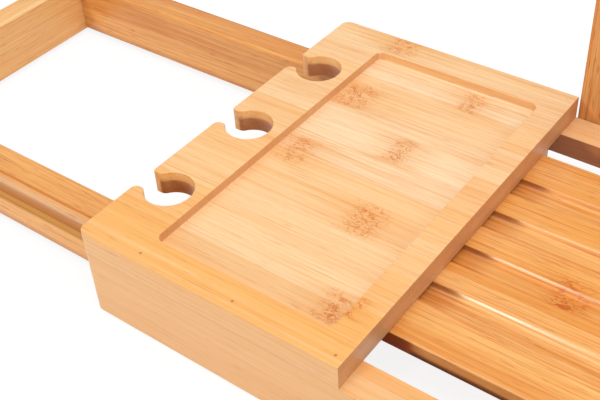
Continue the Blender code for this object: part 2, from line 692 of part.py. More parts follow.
def bracket_screw_places(side):
    """Places of the screws in one hinge bracket, on the back face of the back apron."""
    z = (SPAN_BOTTOM + SEAT_LEVEL) / 2
    return [(side * (EAR_OUTER - BRACKET_LENGTH * share), z) for share in BRACKET_SCREW_SHARES]


def hinge_bracket(side_name, side, finish):
    """A steel plate on the back apron with an ear bent out beside the post."""
    low, high = SPAN_BOTTOM + BRACKET_EDGE_MARGIN, SEAT_LEVEL - BRACKET_EDGE_MARGIN
    plate_y = BACK + SEAT_GAP
    x = span(side * EAR_OUTER, side * (EAR_OUTER - BRACKET_LENGTH))
    bm = bmesh.new()
    plate = rounded([(x[0], low, 0), (x[1], low, 0), (x[1], high, 0), (x[0], high, 0)])
    prism_mesh(bm, plate, "y", plate_y, plate_y + BRACKET_THICKNESS)
    name = side_name + "_hinge_bracket"
    obj = solid(name, bm, finish, origin=(side * EAR_OUTER, plate_y, PIVOT_Z))
    ear_x = span(side * EAR_OUTER, side * EAR_INNER)
    lobe = arc((PIVOT_Y, PIVOT_Z), EAR_RADIUS, -math.pi / 3, math.pi, 2 * CORNER_STEPS)
    ear = [(plate_y, low), (PIVOT_Y, low)] + lobe + [(plate_y, PIVOT_Z)]
    combine(obj, hidden(prism(name + "_ear", ear, "x", ear_x[0], ear_x[1])), "UNION")
    holes = [((side * (EAR_INNER - OVERRUN), PIVOT_Y, PIVOT_Z), (side, 0, 0),
              PIN_RADIUS + PIN_CLEARANCE, BRACKET_THICKNESS + OVERRUN + OVERRUN)]
    for sx, sz in bracket_screw_places(side):
        holes.append(((sx, BACK - OVERRUN, sz), (0, 1, 0), BRACKET_SCREW_RADIUS + SEAT_GAP,
                      OVERRUN + OVERRUN + BRACKET_THICKNESS))
    return cut(obj, drill(name + "_holes", holes))


def pivot_pin(side_name, side, finish):
    """The pin that the post turns on, headed inside the bracket's ear."""
    seat = EAR_INNER - SEAT_GAP
    start = (side * (seat - PIN_HEAD_HEIGHT), PIVOT_Y, PIVOT_Z)
    length = PIN_HEAD_HEIGHT + SEAT_GAP + BRACKET_THICKNESS + SEAT_GAP + PIN_GRIP
    profile = [(0, PIN_HEAD_RADIUS - PIN_HEAD_HEIGHT / 2), (PIN_HEAD_HEIGHT / 2, PIN_HEAD_RADIUS),
               (PIN_HEAD_HEIGHT, PIN_HEAD_RADIUS), (PIN_HEAD_HEIGHT, PIN_RADIUS), (length, PIN_RADIUS)]
    return turned(side_name + "_pivot_pin", profile, start, (side, 0, 0), finish, origin=start)


def screws_and_brads(steel):
    """Every screw and brad, each in the hole made for it."""
    for side_name, side in SIDES:
        for number, (x, z) in enumerate(bracket_screw_places(side), 1):
            seat = BACK + SEAT_GAP + BRACKET_THICKNESS + SEAT_GAP
            start = (x, seat + BRACKET_SCREW_HEAD_HEIGHT, z)
            profile = [(0, BRACKET_SCREW_HEAD_RADIUS - BRACKET_SCREW_HEAD_HEIGHT),
                       (BRACKET_SCREW_HEAD_HEIGHT / 2, BRACKET_SCREW_HEAD_RADIUS),
                       (BRACKET_SCREW_HEAD_HEIGHT, BRACKET_SCREW_HEAD_RADIUS),
                       (BRACKET_SCREW_HEAD_HEIGHT, BRACKET_SCREW_RADIUS),
                       (BRACKET_SCREW_LENGTH, BRACKET_SCREW_RADIUS)]
            turned(f"{side_name}_bracket_screw_{number}", profile, start, (0, -1, 0), steel, origin=start)
        for number, (x, y) in enumerate(panel_screw_places(side), 1):
            start = (x, y, SEAT_LEVEL - PANEL_THICKNESS)
            turned(f"{side_name}_panel_screw_{number}", panel_screw_profile(), start, (0, 0, 1), steel,
                   origin=start)
        for kind, number, x, y in brad_places(side):
            start = (x, y, BOARD_TOP - BRAD_SINK)
            profile = [(0, BRAD_RADIUS), (BRAD_LENGTH, BRAD_RADIUS)]
            turned(f"{side_name}_{kind}_{number}", profile, start, (0, 0, -1), steel, BRAD_SIDES,
                   origin=start)


def build():
    """Model the whole caddy."""
    clear_scene()
    board_bamboo = material("board_bamboo", (0.80, 0.54, 0.27), 0.42)
    frame_bamboo = material("frame_bamboo", (0.74, 0.43, 0.18), 0.45)
    dowel_wood = material("dowel_wood", (0.78, 0.60, 0.38), 0.60)
    steel = material("zinc_plated_steel", (0.62, 0.62, 0.60), 0.30, 1.0)
    rubber = material("grip_rubber", (0.05, 0.05, 0.05), 0.85)

    board("glass_board", -1, True, board_bamboo)
    board("soap_board", 1, False, board_bamboo)
    slat_panel(frame_bamboo)
    for row, face, inward in ROWS:
        apron(row, face, inward, frame_bamboo)
        for side_name, side in SIDES:
            tongue(f"{side_name}_{row}_tongue", side, face, inward, frame_bamboo)
    for side_name, side in SIDES:
        arm_frame(side_name, side, frame_bamboo, dowel_wood, rubber)

    pivot = frame_origin("book_rest_pivot", (0, PIVOT_Y, PIVOT_Z))
    for bar in rest_bars():
        rest_bar(*bar, frame_bamboo, pivot)
    for side_name, side in SIDES:
        post(side_name, side, frame_bamboo, pivot)
        hinge_bracket(side_name, side, steel)
        pivot_pin(side_name, side, steel)
    screws_and_brads(steel)
    print(f"arm travel {ARM_TRAVEL:.5f}, pivot at y {PIVOT_Y:.5f}, z {PIVOT_Z:.5f}")


build()
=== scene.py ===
import json

import bmesh
import bpy
import numpy as np
from mathutils import Matrix, Vector
from mathutils.geometry import tessellate_polygon


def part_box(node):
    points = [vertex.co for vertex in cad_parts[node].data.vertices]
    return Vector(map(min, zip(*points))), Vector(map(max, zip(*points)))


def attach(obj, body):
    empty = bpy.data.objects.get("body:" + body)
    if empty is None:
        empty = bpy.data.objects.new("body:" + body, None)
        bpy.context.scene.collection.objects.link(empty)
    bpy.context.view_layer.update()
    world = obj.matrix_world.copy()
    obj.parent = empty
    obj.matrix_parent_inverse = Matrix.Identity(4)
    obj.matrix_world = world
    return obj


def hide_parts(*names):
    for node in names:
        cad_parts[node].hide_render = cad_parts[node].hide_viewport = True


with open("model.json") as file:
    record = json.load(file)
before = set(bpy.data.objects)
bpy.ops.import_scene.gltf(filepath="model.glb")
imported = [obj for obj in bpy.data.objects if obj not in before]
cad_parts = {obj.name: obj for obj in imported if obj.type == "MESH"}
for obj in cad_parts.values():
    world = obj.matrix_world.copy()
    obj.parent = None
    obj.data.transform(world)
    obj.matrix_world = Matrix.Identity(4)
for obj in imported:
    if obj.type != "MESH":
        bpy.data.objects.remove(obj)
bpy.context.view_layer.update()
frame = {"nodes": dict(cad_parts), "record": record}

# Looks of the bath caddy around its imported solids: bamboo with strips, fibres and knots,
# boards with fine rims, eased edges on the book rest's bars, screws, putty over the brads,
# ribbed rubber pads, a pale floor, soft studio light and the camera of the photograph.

BODY_OF = {node: body for body, nodes in frame["record"]["behaviour"]["bodies"].items() for node in nodes}

SIDES, ROWS = ("left", "right"), ("front", "back")

# Boards: their rims, notches and pockets
BOARD_CORNER_RADIUS = 0.005
BOARD_EASED_EDGE = 0.0005
BOARD_SEAM_EDGE = 0.00012
SEAM_CLOSED_BY = 0.00026
NOTCH_COUNT = 3
NOTCH_FRONT_MARGIN = 0.0459
NOTCH_BACK_MARGIN = 0.0505
NOTCH_INSET = 0.0163
NOTCH_RADIUS = 0.0125
NOTCH_HALF_MOUTH = 0.0063
NOTCH_FRONT_LIP_RADIUS = 0.0034
NOTCH_BACK_LIP_RADIUS = 0.0012
NOTCH_FRONT_THROAT_RADIUS = 0.0015
NOTCH_BACK_THROAT_RADIUS = 0.004
POCKET_OUTER_MARGIN = 0.035
POCKET_INNER_MARGIN = 0.014
POCKET_FRONT_MARGIN = 0.016
POCKET_BACK_MARGIN = 0.018
POCKET_DEPTH = 0.005
POCKET_CORNER_RADIUS = 0.004
POCKET_FLOOR_RADIUS = 0.001
POCKET_EASED_EDGE = 0.0002

# Points of outlines and of meshes that count as one, the length of edges that are dropped, and
# the angles in degrees under which flats are joined and over which edges are eased or sharp
OUTLINE_GAP = 1e-6
MERGED_POINTS = 2e-6
DROPPED_EDGE = 1e-7
FLAT_ANGLE = 0.4
EASED_ANGLE = 40
SHARP_ANGLE = 50
REST_EASED_EDGE = 0.0008
SAME_HEIGHT = 1e-5
SEAM_REACH = 1.5 * BOARD_EASED_EDGE

# Putty over the brads of a row: name, dark tone and light tone, and its (height, radius)
PUTTIES = {"front": ("brown_putty", (0.36, 0.15, 0.04), (0.6, 0.31, 0.1)),
           "back": ("fair_putty", (0.72, 0.4, 0.16), (0.86, 0.52, 0.24))}
PUTTY_PROFILE = ((-0.0006, 0), (-0.0006, 0.0006), (0.00003, 0.0007), (0.00004, 0.0006),
                 (0.00002, 0.0003), (0.00001, 0))

# Rubber pads: their grooves, and the share of the way to the middle over which these set in
PAD_CORNER_RADIUS = 0.004
PAD_GROOVE_HALF_DEPTH = 0.0003
PAD_GROOVE_PITCH = 0.003
PAD_PLAIN_RIM = 0.15
PAD_RINGS = 41
PAD_TOP_STEP = 20
SQUARE = ((-1, -1), (1, -1), (1, 1), (-1, 1))

# Screw heads: their share of the solid's radius, and the cross recess in shares of theirs
HEAD_SHARE = 0.98
CROSS_HALF_WIDTH = 0.17
CROSS_SIDE_SLOPE = 0.04
CROSS_REACH = 0.62
CROSS_END_SLOPE = 0.05

# Screws: the way the head looks, how deep its rim lies, the rise of its dome, its recess, the
# gap to the shank, the shank's (distance, radius), and a cone's share of the head's radius
BRACKET_SCREW = {"outwards": (0, 1, 0), "sink": 0.00075, "rise": 0.00072, "recess": 0.0007, "gap": 0.0006,
                 "shank": ((0, 0.0014), (0.0085, 0.0014), (0.0095, 0))}
PANEL_SCREW = {"outwards": (0, 0, -1), "sink": 0.00035, "rise": 0.0003, "recess": 0.0009, "gap": 0.0002,
               "shank": ((0.002, 0.0017), (0.014, 0.0017), (0.0155, 0)), "cone": 0.9}

# Pale and warm tones of the strips in each kind of stick, the sheen, roughness and relief
APRON_PALE, APRON_WARM = (0.83, 0.5, 0.235), (0.83, 0.43, 0.155)
# The back apron's tones are paler than the front apron's: painted light
BACK_APRON_LIT_PALE, BACK_APRON_LIT_WARM = (0.89, 0.58, 0.3), (0.88, 0.5, 0.21)
BOARD_PALE, BOARD_WARM = (0.91, 0.685, 0.425), (0.88, 0.455, 0.135)
FRAME_PALE, FRAME_WARM = (0.89, 0.51, 0.185), (0.81, 0.375, 0.088)
RAIL_PALE, RAIL_WARM = (0.85, 0.425, 0.125), (0.74, 0.325, 0.085)
POST_PALE, POST_WARM = (0.86, 0.5, 0.2), (0.7, 0.33, 0.1)
BAR_PALE, BAR_WARM = (0.95, 0.62, 0.29), (0.89, 0.52, 0.2)
# The bar's side faces keep these darker tones while its top is paler: painted light and shade
BAR_SIDES = ((0.92, 0.51, 0.19), (0.85, 0.405, 0.12))
DOWEL_PALE, DOWEL_WARM = (0.74, 0.54, 0.34), (0.66, 0.45, 0.26)
SHEEN = (1.0, 0.88, 0.74)
BAMBOO_ROUGHNESS = 0.4
FIBRE_ROUGHNESS = (0.16, 0.34)
SWIRL_RELIEF, DASH_RELIEF = -0.3, -0.6
BAMBOO_RELIEF = 0.00004

# What marks and cuts make of the warm tone
ORANGE = (0.88, 0.68, 0.46)
BROWN = (0.52, 0.24, 0.07)
BURNT = (0.66, 0.27, 0.06)
CUT = (0.8, 0.6, 0.52)
BOARD_CUT = (0.8, 0.78, 1.18)
PALER_CUT = (1.16, 1.26, 1.36)
# The last cut tone dims the boards' ends by the panel: painted shade
SHADED_CUT = (0.84, 0.83, 0.86)

# Marks along the fibres: lumps per metre along and across them, a shift that sets the noise
# apart, its detail and roughness, and the values where the mark starts and where it is full
MARKS = {
    "cloud": (1.7, 60.0, 0.0, 2.0, 0.5, 0.34, 0.68),
    "streak": (6.0, 520.0, 0.0, 3.0, 0.65, 0.44, 0.74),
    "fair": (4.5, 330.0, 31.0, 3.0, 0.6, 0.5, 0.72),
    "dash": (85.0, 1150.0, 0.0, 1.0, 0.5, 0.645, 0.74),
    "thread": (26.0, 1300.0, 11.0, 2.0, 0.6, 0.5, 0.68),
    "line": (22.0, 1000.0, 57.0, 2.0, 0.6, 0.56, 0.7),
}
FIBRES = (30.0, 1900.0, 0.0, 2.0, 0.6)
STRIP_SHIFT = 9.0
SEAM_WIDTH = 0.0003

# How far the marks take a strip's tone to orange, to brown and to burnt. A knot's shares grow
# with the strength of the lines from where they start
ORANGE_BY = {"cloud": 0.3, "streak": 0.46, "thread": 0.34, "fibre": 0.7, "seam": 0.18, "knot": 0.34,
             "halo": 0.2}
KNOT_ORANGE_START = -0.04
BROWN_BY = {"dash": 0.26, "line": 0.3}
BURNT_START, BURNT_BY_LINES = 0.42, 0.48

# A pair of values, unless told otherwise, is where a smooth step starts and where it ends
TONE_SPREAD = (0.1, 0.9)
SIDEWAYS = (0.6, 0.9)
ENDWAYS = (0.72, 0.9)
UPRIGHT = (0.3, 0.7)
FRONTWARD = (-0.7, -0.3)

# Knots: how far one wanders along its strip, how long one at a spacing is, and the reach of a
# listed one's patch and halo in shares of its half size
KNOT_WANDER = 0.014
KNOT_WANDER_LUMPS = 120.0
KNOT_LENGTH = (0.001, 0.008)
KNOT_HALF_DEPTH = 0.0022
KNOT_DEPTH = (0.9, 1.0)
PATCH_X, PATCH_Y = (0.1, 1.0), (0.8, 1.05)
HALO_X, HALO_Y = (0.6, 2.8), (1.0, 1.06)

# Swirls in knots: lumps per metre along, across and above the strips, detail, roughness and
# distortion of the curls, and where their noise makes a line or a fleck
CURLS = (190.0, 290.0, 290.0)
CURL_NOISE = (2.0, 0.55, 1.6)
CURL_MIDDLE, CURL_LINE = 0.5, (0.01, 0.07)
FLECK_LUMPS, FLECK = (260.0, 380.0, 380.0), (0.36, 0.52)

# Cut ends: the fibres' dots per metre and their size, the clouds' lumps across and above, and
# the shares of both
CUT_DOTS, CUT_DOT, CUT_DOTS_SHARE = 1100.0, (0.15, 0.5), 0.3
CUT_CLOUDS, CUT_CLOUDS_SHARE = (260.0, 420.0), 0.25

# Strips of the glass board from front to back, from pale at 0 to warm at 1, in two plies
POCKET_TONES = (0.55, 0.37, 0.42, 0.52, 0.0, 0.04, 0.38, 0.04)
MARGIN_TONES = (1.0, 1.0, 0.8, 0.56, 0.68, 0.5, 0.3, 0.55, 0.28, 0.45)

# Knots that stand out: place, and half their size along x and y
POCKET_FLOOR = 0.046
BOARD_TOP = 0.051
PANEL_TOP = 0.0366
BAR_TOP = 0.0375
GLASS_BOARD_KNOTS = (
    (-0.2875, 0.0484, POCKET_FLOOR, 0.016, 0.0115),
    (-0.286, -0.0072, POCKET_FLOOR, 0.011, 0.0115),
    (-0.2428, 0.0197, POCKET_FLOOR, 0.009, 0.011),
    (-0.2285, -0.0331, POCKET_FLOOR, 0.014, 0.012),
    (-0.2321, 0.0748, POCKET_FLOOR, 0.01, 0.009),
    (-0.2085, -0.0862, POCKET_FLOOR, 0.01, 0.01),
    (-0.1975, -0.085, BOARD_TOP, 0.004, 0.007),
    (-0.2887, 0.0958, BOARD_TOP, 0.014, 0.008),
)
PANEL_KNOTS = (
    (-0.1315, -0.0166, PANEL_TOP, 0.013, 0.009),
    (0.015, 0.03, PANEL_TOP, 0.01, 0.006),
    (0.108, -0.056, PANEL_TOP, 0.01, 0.01),
    (-0.04, -0.062, PANEL_TOP, 0.009, 0.007),
)
BAR_KNOTS = (
    (0.534, 0.031, BAR_TOP, 0.007, 0.008),
    (-0.535, -0.07, BAR_TOP, 0.006, 0.008),
)

# Boards' ends by the panel, the tray's middle, and the aprons' inner sides; painted shade dims the ends
# and the inner sides
BUTT_END = (0.19, 0.191)
TRAY_MIDDLE = -0.00615
INWARD = (-0.08, -0.04)
INNER_PAINTED_SHADE = (0.54, 0.31, 0.19)

# Notch walls: where the board has them, and the heights where their painted light at the top turns into a
# painted brown shadow at the foot
NOTCHES_START = (-0.329, -0.328)
NOTCHES_END = (-0.303, -0.302)
NOTCHES_SIDE = (0.098, 0.1)
NOTCH_SHADOW_LINE = (0.045, 0.0468)
NOTCH_TOP_PAINTED_LIGHT, NOTCH_FOOT_PAINTED_SHADOW = (1.16, 1.16, 1.02), (0.7, 0.49, 0.38)

# Panel: painted shade and shadow in its flutes near the boards, on its front face, and on the band along
# that and by its ends
FLUTE_TOP = (0.037, 0.0374)
FLUTE_ENDS = (0.166, 0.18)
FLUTE_PAINTED_SHADE, FLUTE_WALL_PAINTED_SHADOW = (0.82, 0.68, 0.55), (0.46, 0.3, 0.2)
PANEL_FRONT = (-0.0786, -0.0783)
PANEL_BAND = (0.031, 0.0338)
PANEL_BY_BOARD = (0.1725, 0.1765)
PANEL_FRONT_PAINTED_SHADE, PANEL_BAND_PAINTED_SHADOW = (0.82, 0.82, 0.95), (0.26, 0.16, 0.11)
PANEL_BY_BOARD_PAINTED_SHADOW = (0.78, 0.52, 0.26)
PLAIN_SPECULAR, PANEL_FRONT_SPECULAR = 0.5, 0.1

# Arm rails: the groove in their outer face, with insets from that face, the groove's painted shade on its
# back and painted light on its ledge, and their darker edges
RAIL_FACE = 0.0916
GROOVE_DEPTH = 0.0045
GROOVE_MIDDLE, GROOVE_HALF_HEIGHT = 0.0233, 0.0059
GROOVE_MOUTH = (0.0003, 0.0022)
GROOVE_LEDGE = (GROOVE_DEPTH - 0.0009, GROOVE_DEPTH - 0.0002)
GROOVE_BACK = (GROOVE_DEPTH + 0.0002, GROOVE_DEPTH + 0.0006)
GROOVE_SPAN = (GROOVE_HALF_HEIGHT + 0.0001, GROOVE_HALF_HEIGHT + 0.0003)
GROOVE_BACK_PAINTED_SHADE, GROOVE_LEDGE_PAINTED_LIGHT = (0.58, 0.225, 0.055), (0.98, 0.44, 0.08)
GROOVE_SHARE = 0.8
RAIL_TOP_INSET, RAIL_TOP_HEIGHT = (0.0012, 0.0026), (0.0365, 0.0371)
LIP_MIDDLE = 0.0296
LIP_HEIGHT, LIP_INSET = (0.0004, 0.0016), (0.0003, 0.001)
RAIL_FOOT = (0.0045, 0.0085)
RAIL_EDGE_DARKER = (0.78, 0.64, 0.5)

# Steel, rubber and putty: tones, noise of the grain, what it adds to the least roughness, relief
STEEL_DARK, STEEL_LIGHT = (0.55, 0.56, 0.56), (0.68, 0.68, 0.66)
RUBBER_DARK, RUBBER_LIGHT = (0.025, 0.025, 0.027), (0.055, 0.055, 0.056)
STEEL_BRUSHING = (400.0, 4000.0, 4000.0)
RUBBER_GRAINS, PUTTY_GRAINS = (1800.0, 3.0, 0.6), (2500.0, 2.0, 0.6)
STEEL_ROUGHNESS, RUBBER_ROUGHNESS = (0.22, 0.2), (0.2, 0.7)
STEEL_RELIEF, RUBBER_RELIEF = 0.00001, 0.00004

# Studio: the floor's grey for the lights, its grey and glow for the camera, the ambient light,
# and the lights as name, place, aim, size and power
FLOOR_HALF = 6.0
FLOOR_HEIGHT = -0.0005
FLOOR_GREY = 0.74
SEEN_FLOOR_GREY = 0.16
SEEN_FLOOR_GLOW = 0.86
AMBIENT_LIGHT = 0.5
LIGHTS = (
    ("key", (-0.79, -2.25, 0.66), (-0.2, 0, 0.03), 0.2, 15.5),
    ("overhead", (0.0, -0.12, 1.9), (-0.15, 0, 0.03), 1.8, 24.5),
    ("back_card", (-0.1, 2.2, 0.65), (-0.15, 0, 0.05), 1.3, 6.0),
    ("right", (1.7, -0.4, 1.1), (-0.15, 0, 0.03), 1.2, 7.0),
)

# Camera of the photograph, fitted to the caddy's edges
CAMERA_PLACE = (-0.0306, -0.32544, 0.36054)
CAMERA_RIGHT = (0.8034, 0.59346, -0.0485)
CAMERA_UP = (-0.35622, 0.54431, 0.7595)
CAMERA_BACK = (0.47713, -0.5929, 0.6487)
CAMERA_LENS = 61.0
CAMERA_SENSOR = 36.0


class Finish:
    """One material, with short calls that add its nodes and link them."""

    def __init__(self, name, colour, roughness, **constants):
        self.material = bpy.data.materials.new(name)
        self.material.use_nodes = True
        self.tree = self.material.node_tree
        self.shader = self.tree.nodes["Principled BSDF"]
        constants.update(base_color=(*colour, 1.0), roughness=roughness)
        for socket, value in constants.items():
            self.shader.inputs[socket.replace("_", " ").title()].default_value = value
        self.material.diffuse_color = (*colour, 1.0)
        coordinates = self.add("TexCoord")
        self.place = coordinates.outputs["Object"]
        self.normal = coordinates.outputs["Normal"]

    def add(self, kind, inputs=None, **settings):
        """A new shader node with its settings, its inputs linked or set."""
        node = self.tree.nodes.new("ShaderNode" + kind)
        for key, value in settings.items():
            setattr(node, key, value)
        for key, value in (inputs or {}).items():
            self.feed(node.inputs[key], value)
        return node

    def feed(self, socket, value):
        """Link an output into a socket, or set the socket to a value."""
        if isinstance(value, bpy.types.NodeSocket):
            self.tree.links.new(value, socket)
        else:
            socket.default_value = value

    def drive(self, name, value):
        """Feed one of the shader's inputs."""
        self.feed(self.shader.inputs[name], value)

    def math(self, operation, a, b=0.0, c=0.0, clamp=False):
        """One arithmetic step."""
        step = self.add("Math", {0: a, 1: b, 2: c}, operation=operation, use_clamp=clamp)
        return step.outputs[0]

    def times(self, *values):
        """The product of values."""
        product = values[0]
        for value in values[1:]:
            product = self.math("MULTIPLY", product, value)
        return product

    def size(self, value):
        """A value without its sign."""
        return self.math("ABSOLUTE", value)

    def away(self, value, middle):
        """How far a value lies from a middle."""
        return self.size(self.math("SUBTRACT", value, middle))

    def total(self, *weighed):
        """The sum of values, each times its weight, kept between zero and one."""
        result = 0.0
        for number, (value, weight) in enumerate(weighed, 1):
            result = self.math("MULTIPLY_ADD", value, weight, result, clamp=number == len(weighed))
        return result

    def joined(self, x, y, z):
        """A vector from three values."""
        return self.add("CombineXYZ", {0: x, 1: y, 2: z}).outputs[0]

    def parts(self, vector):
        """The three values of a vector."""
        return self.add("SeparateXYZ", {0: vector}).outputs

    def facing(self, axis):
        """How much the face looks along an axis, from -1 to 1."""
        return self.parts(self.normal)["xyz".index(axis)]

    def fade(self, value, low, high, at_low=0.0, at_high=1.0):
        """A smooth step: at_low up to low, at_high from high on."""
        node = self.add("MapRange", {"Value": value, "From Min": low, "From Max": high,
                                     "To Min": at_low, "To Max": at_high},
                        interpolation_type="SMOOTHSTEP")
        return node.outputs["Result"]

    def drop(self, value, low, high):
        """A smooth step down: one up to low, nothing from high on."""
        return self.fade(value, low, high, 1.0, 0.0)

    def noise(self, vector, detail=2.0, roughness=0.5, distortion=0.0):
        """Smooth noise over a vector whose unit is one lump."""
        node = self.add("TexNoise", {"Vector": vector, "Scale": 1.0, "Detail": detail,
                                     "Roughness": roughness, "Distortion": distortion})
        return node.outputs["Fac"]

    def speckle(self, lumps, detail, roughness):
        """Noise with the same lumps per metre in all directions."""
        scaled = self.add("VectorMath", {0: self.place, 3: lumps}, operation="SCALE")
        return self.noise(scaled.outputs[0], detail, roughness)

    def blend(self, share, a, b, kind="MIX"):
        """Two colours mixed by a share."""
        a, b = (end if isinstance(end, bpy.types.NodeSocket) else (*end, 1.0) for end in (a, b))
        node = self.add("Mix", {0: share, 6: a, 7: b}, data_type="RGBA", blend_type=kind)
        return node.outputs[2]

    def multiplied_by(self, share, colour, painted_shade):
        """A colour multiplied by another colour, by a share: the way painted light, painted shade and
        darker edges go in.
        """
        return self.blend(share, colour, self.blend(1.0, colour, painted_shade, "MULTIPLY"))

    def bump(self, height, distance):
        """Relief on the shader's normal."""
        node = self.add("Bump", {"Height": height, "Strength": 1.0, "Distance": distance})
        self.drive("Normal", node.outputs[0])


def tinted(colour, shares):
    """A colour with each of its values multiplied by a share."""
    return tuple(share * value for share, value in zip(shares, colour))


class Bamboo(Finish):
    """Laminated bamboo: strips side by side across the fibres, in plies above each other.

    Its noise is stretched along the fibres and starts elsewhere in each strip. Each strip of
    each ply has a tone of its own, from pale at 0 to warm at 1.
    """

    def __init__(self, name, grain, warm, strip, ply, ply_start, seed, shine, gloss):
        super().__init__(name, warm, BAMBOO_ROUGHNESS, coat_weight=shine, coat_roughness=gloss,
                         specular_tint=(*SHEEN, 1.0))
        self.shine = shine
        self.seed = seed
        self.x, self.y, self.z = x, y, z = self.parts(self.place)
        self.along, self.across, self.above = {"x": (x, y, z), "y": (y, x, z), "z": (z, x, y)}[grain]
        self.strip_place = self.math("MULTIPLY_ADD", self.across, 1 / strip, seed)
        self.strip_number = self.math("FLOOR", self.strip_place)
        ply_place = self.math("MULTIPLY_ADD", self.above, 1 / ply, -ply_start / ply)
        self.ply_number = self.math("FLOOR", ply_place)
        chance = self.add("TexWhiteNoise",
                          {"Vector": self.joined(self.strip_number, self.ply_number, seed)},
                          noise_dimensions="3D")
        tone, start, self.knot_start = self.parts(chance.outputs["Color"])
        self.tone = self.fade(tone, *TONE_SPREAD)
        self.shifted = self.math("MULTIPLY_ADD", start, STRIP_SHIFT, self.along)
        seam = self.away(self.math("FRACT", self.strip_place), 0.5)
        self.seam = self.fade(seam, 0.5 - SEAM_WIDTH / strip, 0.5)

    def list_tones(self, ply, shares):
        """Give the strips of one ply listed tones, whose second half starts with the strip at zero."""
        count = len(shares)
        start = 0.5 - int(self.seed) / count
        listed = self.add("ValToRGB",
                          {"Fac": self.math("MULTIPLY_ADD", self.strip_place, 1 / count, start)})
        ramp = listed.color_ramp
        ramp.interpolation = "CONSTANT"
        for index, share in enumerate(shares):
            stop = ramp.elements.new(index / count) if index else ramp.elements[0]
            stop.color = (share, share, share, 1.0)
        chosen = self.math("COMPARE", self.ply_number, ply, 0.5)
        mixed = self.blend(chosen, self.joined(self.tone, self.tone, self.tone), listed.outputs["Color"])
        self.tone = self.parts(mixed)[0]

    def lumps(self, along, across, above):
        """The place counted in lumps per metre along, across and above the strips."""
        return self.joined(self.times(self.along, along), self.times(self.across, across),
                           self.times(self.above, above))

    def fibres(self, per_along, per_across, apart, detail, roughness):
        """Noise stretched along the fibres."""
        place = self.joined(self.math("MULTIPLY_ADD", self.shifted, per_along, apart),
                            self.times(self.across, per_across), self.times(self.above, per_across))
        return self.noise(place, detail, roughness)

    def mark(self, kind):
        """One kind of mark along the fibres."""
        *lumps, low, high = MARKS[kind]
        return self.fade(self.fibres(*lumps), low, high)

    def knots(self, listed, spacing):
        """Patches across a strip and the halos around them, at listed places or at a spacing.

        A knot's outline wanders along the fibres as it crosses the strip.
        """
        wander = self.noise(self.joined(self.times(self.across, KNOT_WANDER_LUMPS), self.strip_number,
                                        self.ply_number), 1.0)
        wander = self.math("MULTIPLY_ADD", wander, KNOT_WANDER, -KNOT_WANDER / 2)
        if not listed:
            gap = self.math("FRACT", self.math("MULTIPLY_ADD", self.along, 1 / spacing, self.knot_start))
            gap = self.math("MULTIPLY_ADD", gap, spacing, -spacing / 2)
            patch = self.drop(self.size(self.math("ADD", gap, wander)), *KNOT_LENGTH)
            return patch, patch
        patch, halo = 0.0, 0.0
        for *middle, half_x, half_y in listed:
            from_middle = self.add("VectorMath", {0: self.place, 1: [-value for value in middle]},
                                   operation="ADD")
            away_x, away_y, away_z = self.parts(from_middle.outputs[0])
            away_x = self.size(self.times(self.math("ADD", away_x, wander), 1 / half_x))
            away_y = self.size(self.times(away_y, 1 / half_y))
            away_z = self.size(self.times(away_z, 1 / KNOT_HALF_DEPTH))
            deep = self.drop(away_z, *KNOT_DEPTH)
            inside = self.times(self.drop(away_x, *PATCH_X), self.drop(away_y, *PATCH_Y), deep)
            around = self.times(self.drop(away_x, *HALO_X), self.drop(away_y, *HALO_Y), deep)
            patch = self.math("MAXIMUM", patch, inside)
            halo = self.math("MAXIMUM", halo, around)
        return patch, halo

    def swirl(self, patch, curls):
        """Curled lines with flecks in them, inside the patches of the knots."""
        curl = self.noise(self.lumps(*(lumps * curls for lumps in CURLS)), *CURL_NOISE)
        line = self.drop(self.away(curl, CURL_MIDDLE), *CURL_LINE)
        fleck = self.fade(self.noise(self.lumps(*FLECK_LUMPS), 1.0), *FLECK)
        return self.times(patch, self.times(line, fleck))

    def cut_end(self, warm, cut, shade_by_panel):
        """The dotted tone of the faces across the fibres, with painted shade dimming the ends by the
        panel.
        """
        dots = self.add("TexVoronoi", {"Vector": self.joined(0.0, self.across, self.above),
                                       "Scale": CUT_DOTS}, feature="F1")
        dots = self.drop(dots.outputs["Distance"], *CUT_DOT)
        clouds = self.joined(0.0, self.times(self.across, CUT_CLOUDS[0]),
                             self.times(self.above, CUT_CLOUDS[1]))
        cut_warm = tinted(warm, cut)
        colour = self.blend(self.tone, tinted(cut_warm, PALER_CUT), cut_warm)
        colour = self.blend(self.times(dots, CUT_DOTS_SHARE), colour, tinted(warm, BROWN))
        colour = self.blend(self.times(self.noise(clouds, 2.0), CUT_CLOUDS_SHARE), colour, warm)
        # Painted shade on the ends by the panel
        if shade_by_panel:
            colour = self.multiplied_by(self.drop(self.size(self.x), *BUTT_END), colour, SHADED_CUT)
        return colour


def inner_painted_shade(made, colour):
    """Painted shade, darker, on the faces of the aprons that look to the tray's middle."""
    inward = made.times(made.facing("y"), made.math("SUBTRACT", made.y, TRAY_MIDDLE))
    # The inner faces get painted shade
    return made.multiplied_by(made.drop(inward, *INWARD), colour, INNER_PAINTED_SHADE)


def notch_painted_light_and_shadow(made, colour):
    """Walls of the notches with painted light at the top and a painted brown shadow at the foot."""
    upright = made.drop(made.size(made.facing("z")), *UPRIGHT)
    inside = made.times(made.fade(made.x, *NOTCHES_START), made.drop(made.x, *NOTCHES_END))
    inside = made.times(upright, inside, made.drop(made.size(made.y), *NOTCHES_SIDE))
    # Painted light above, painted shadow below
    painted_shade = made.blend(made.drop(made.z, *NOTCH_SHADOW_LINE), NOTCH_TOP_PAINTED_LIGHT, NOTCH_FOOT_PAINTED_SHADOW)
    return made.multiplied_by(inside, colour, painted_shade)


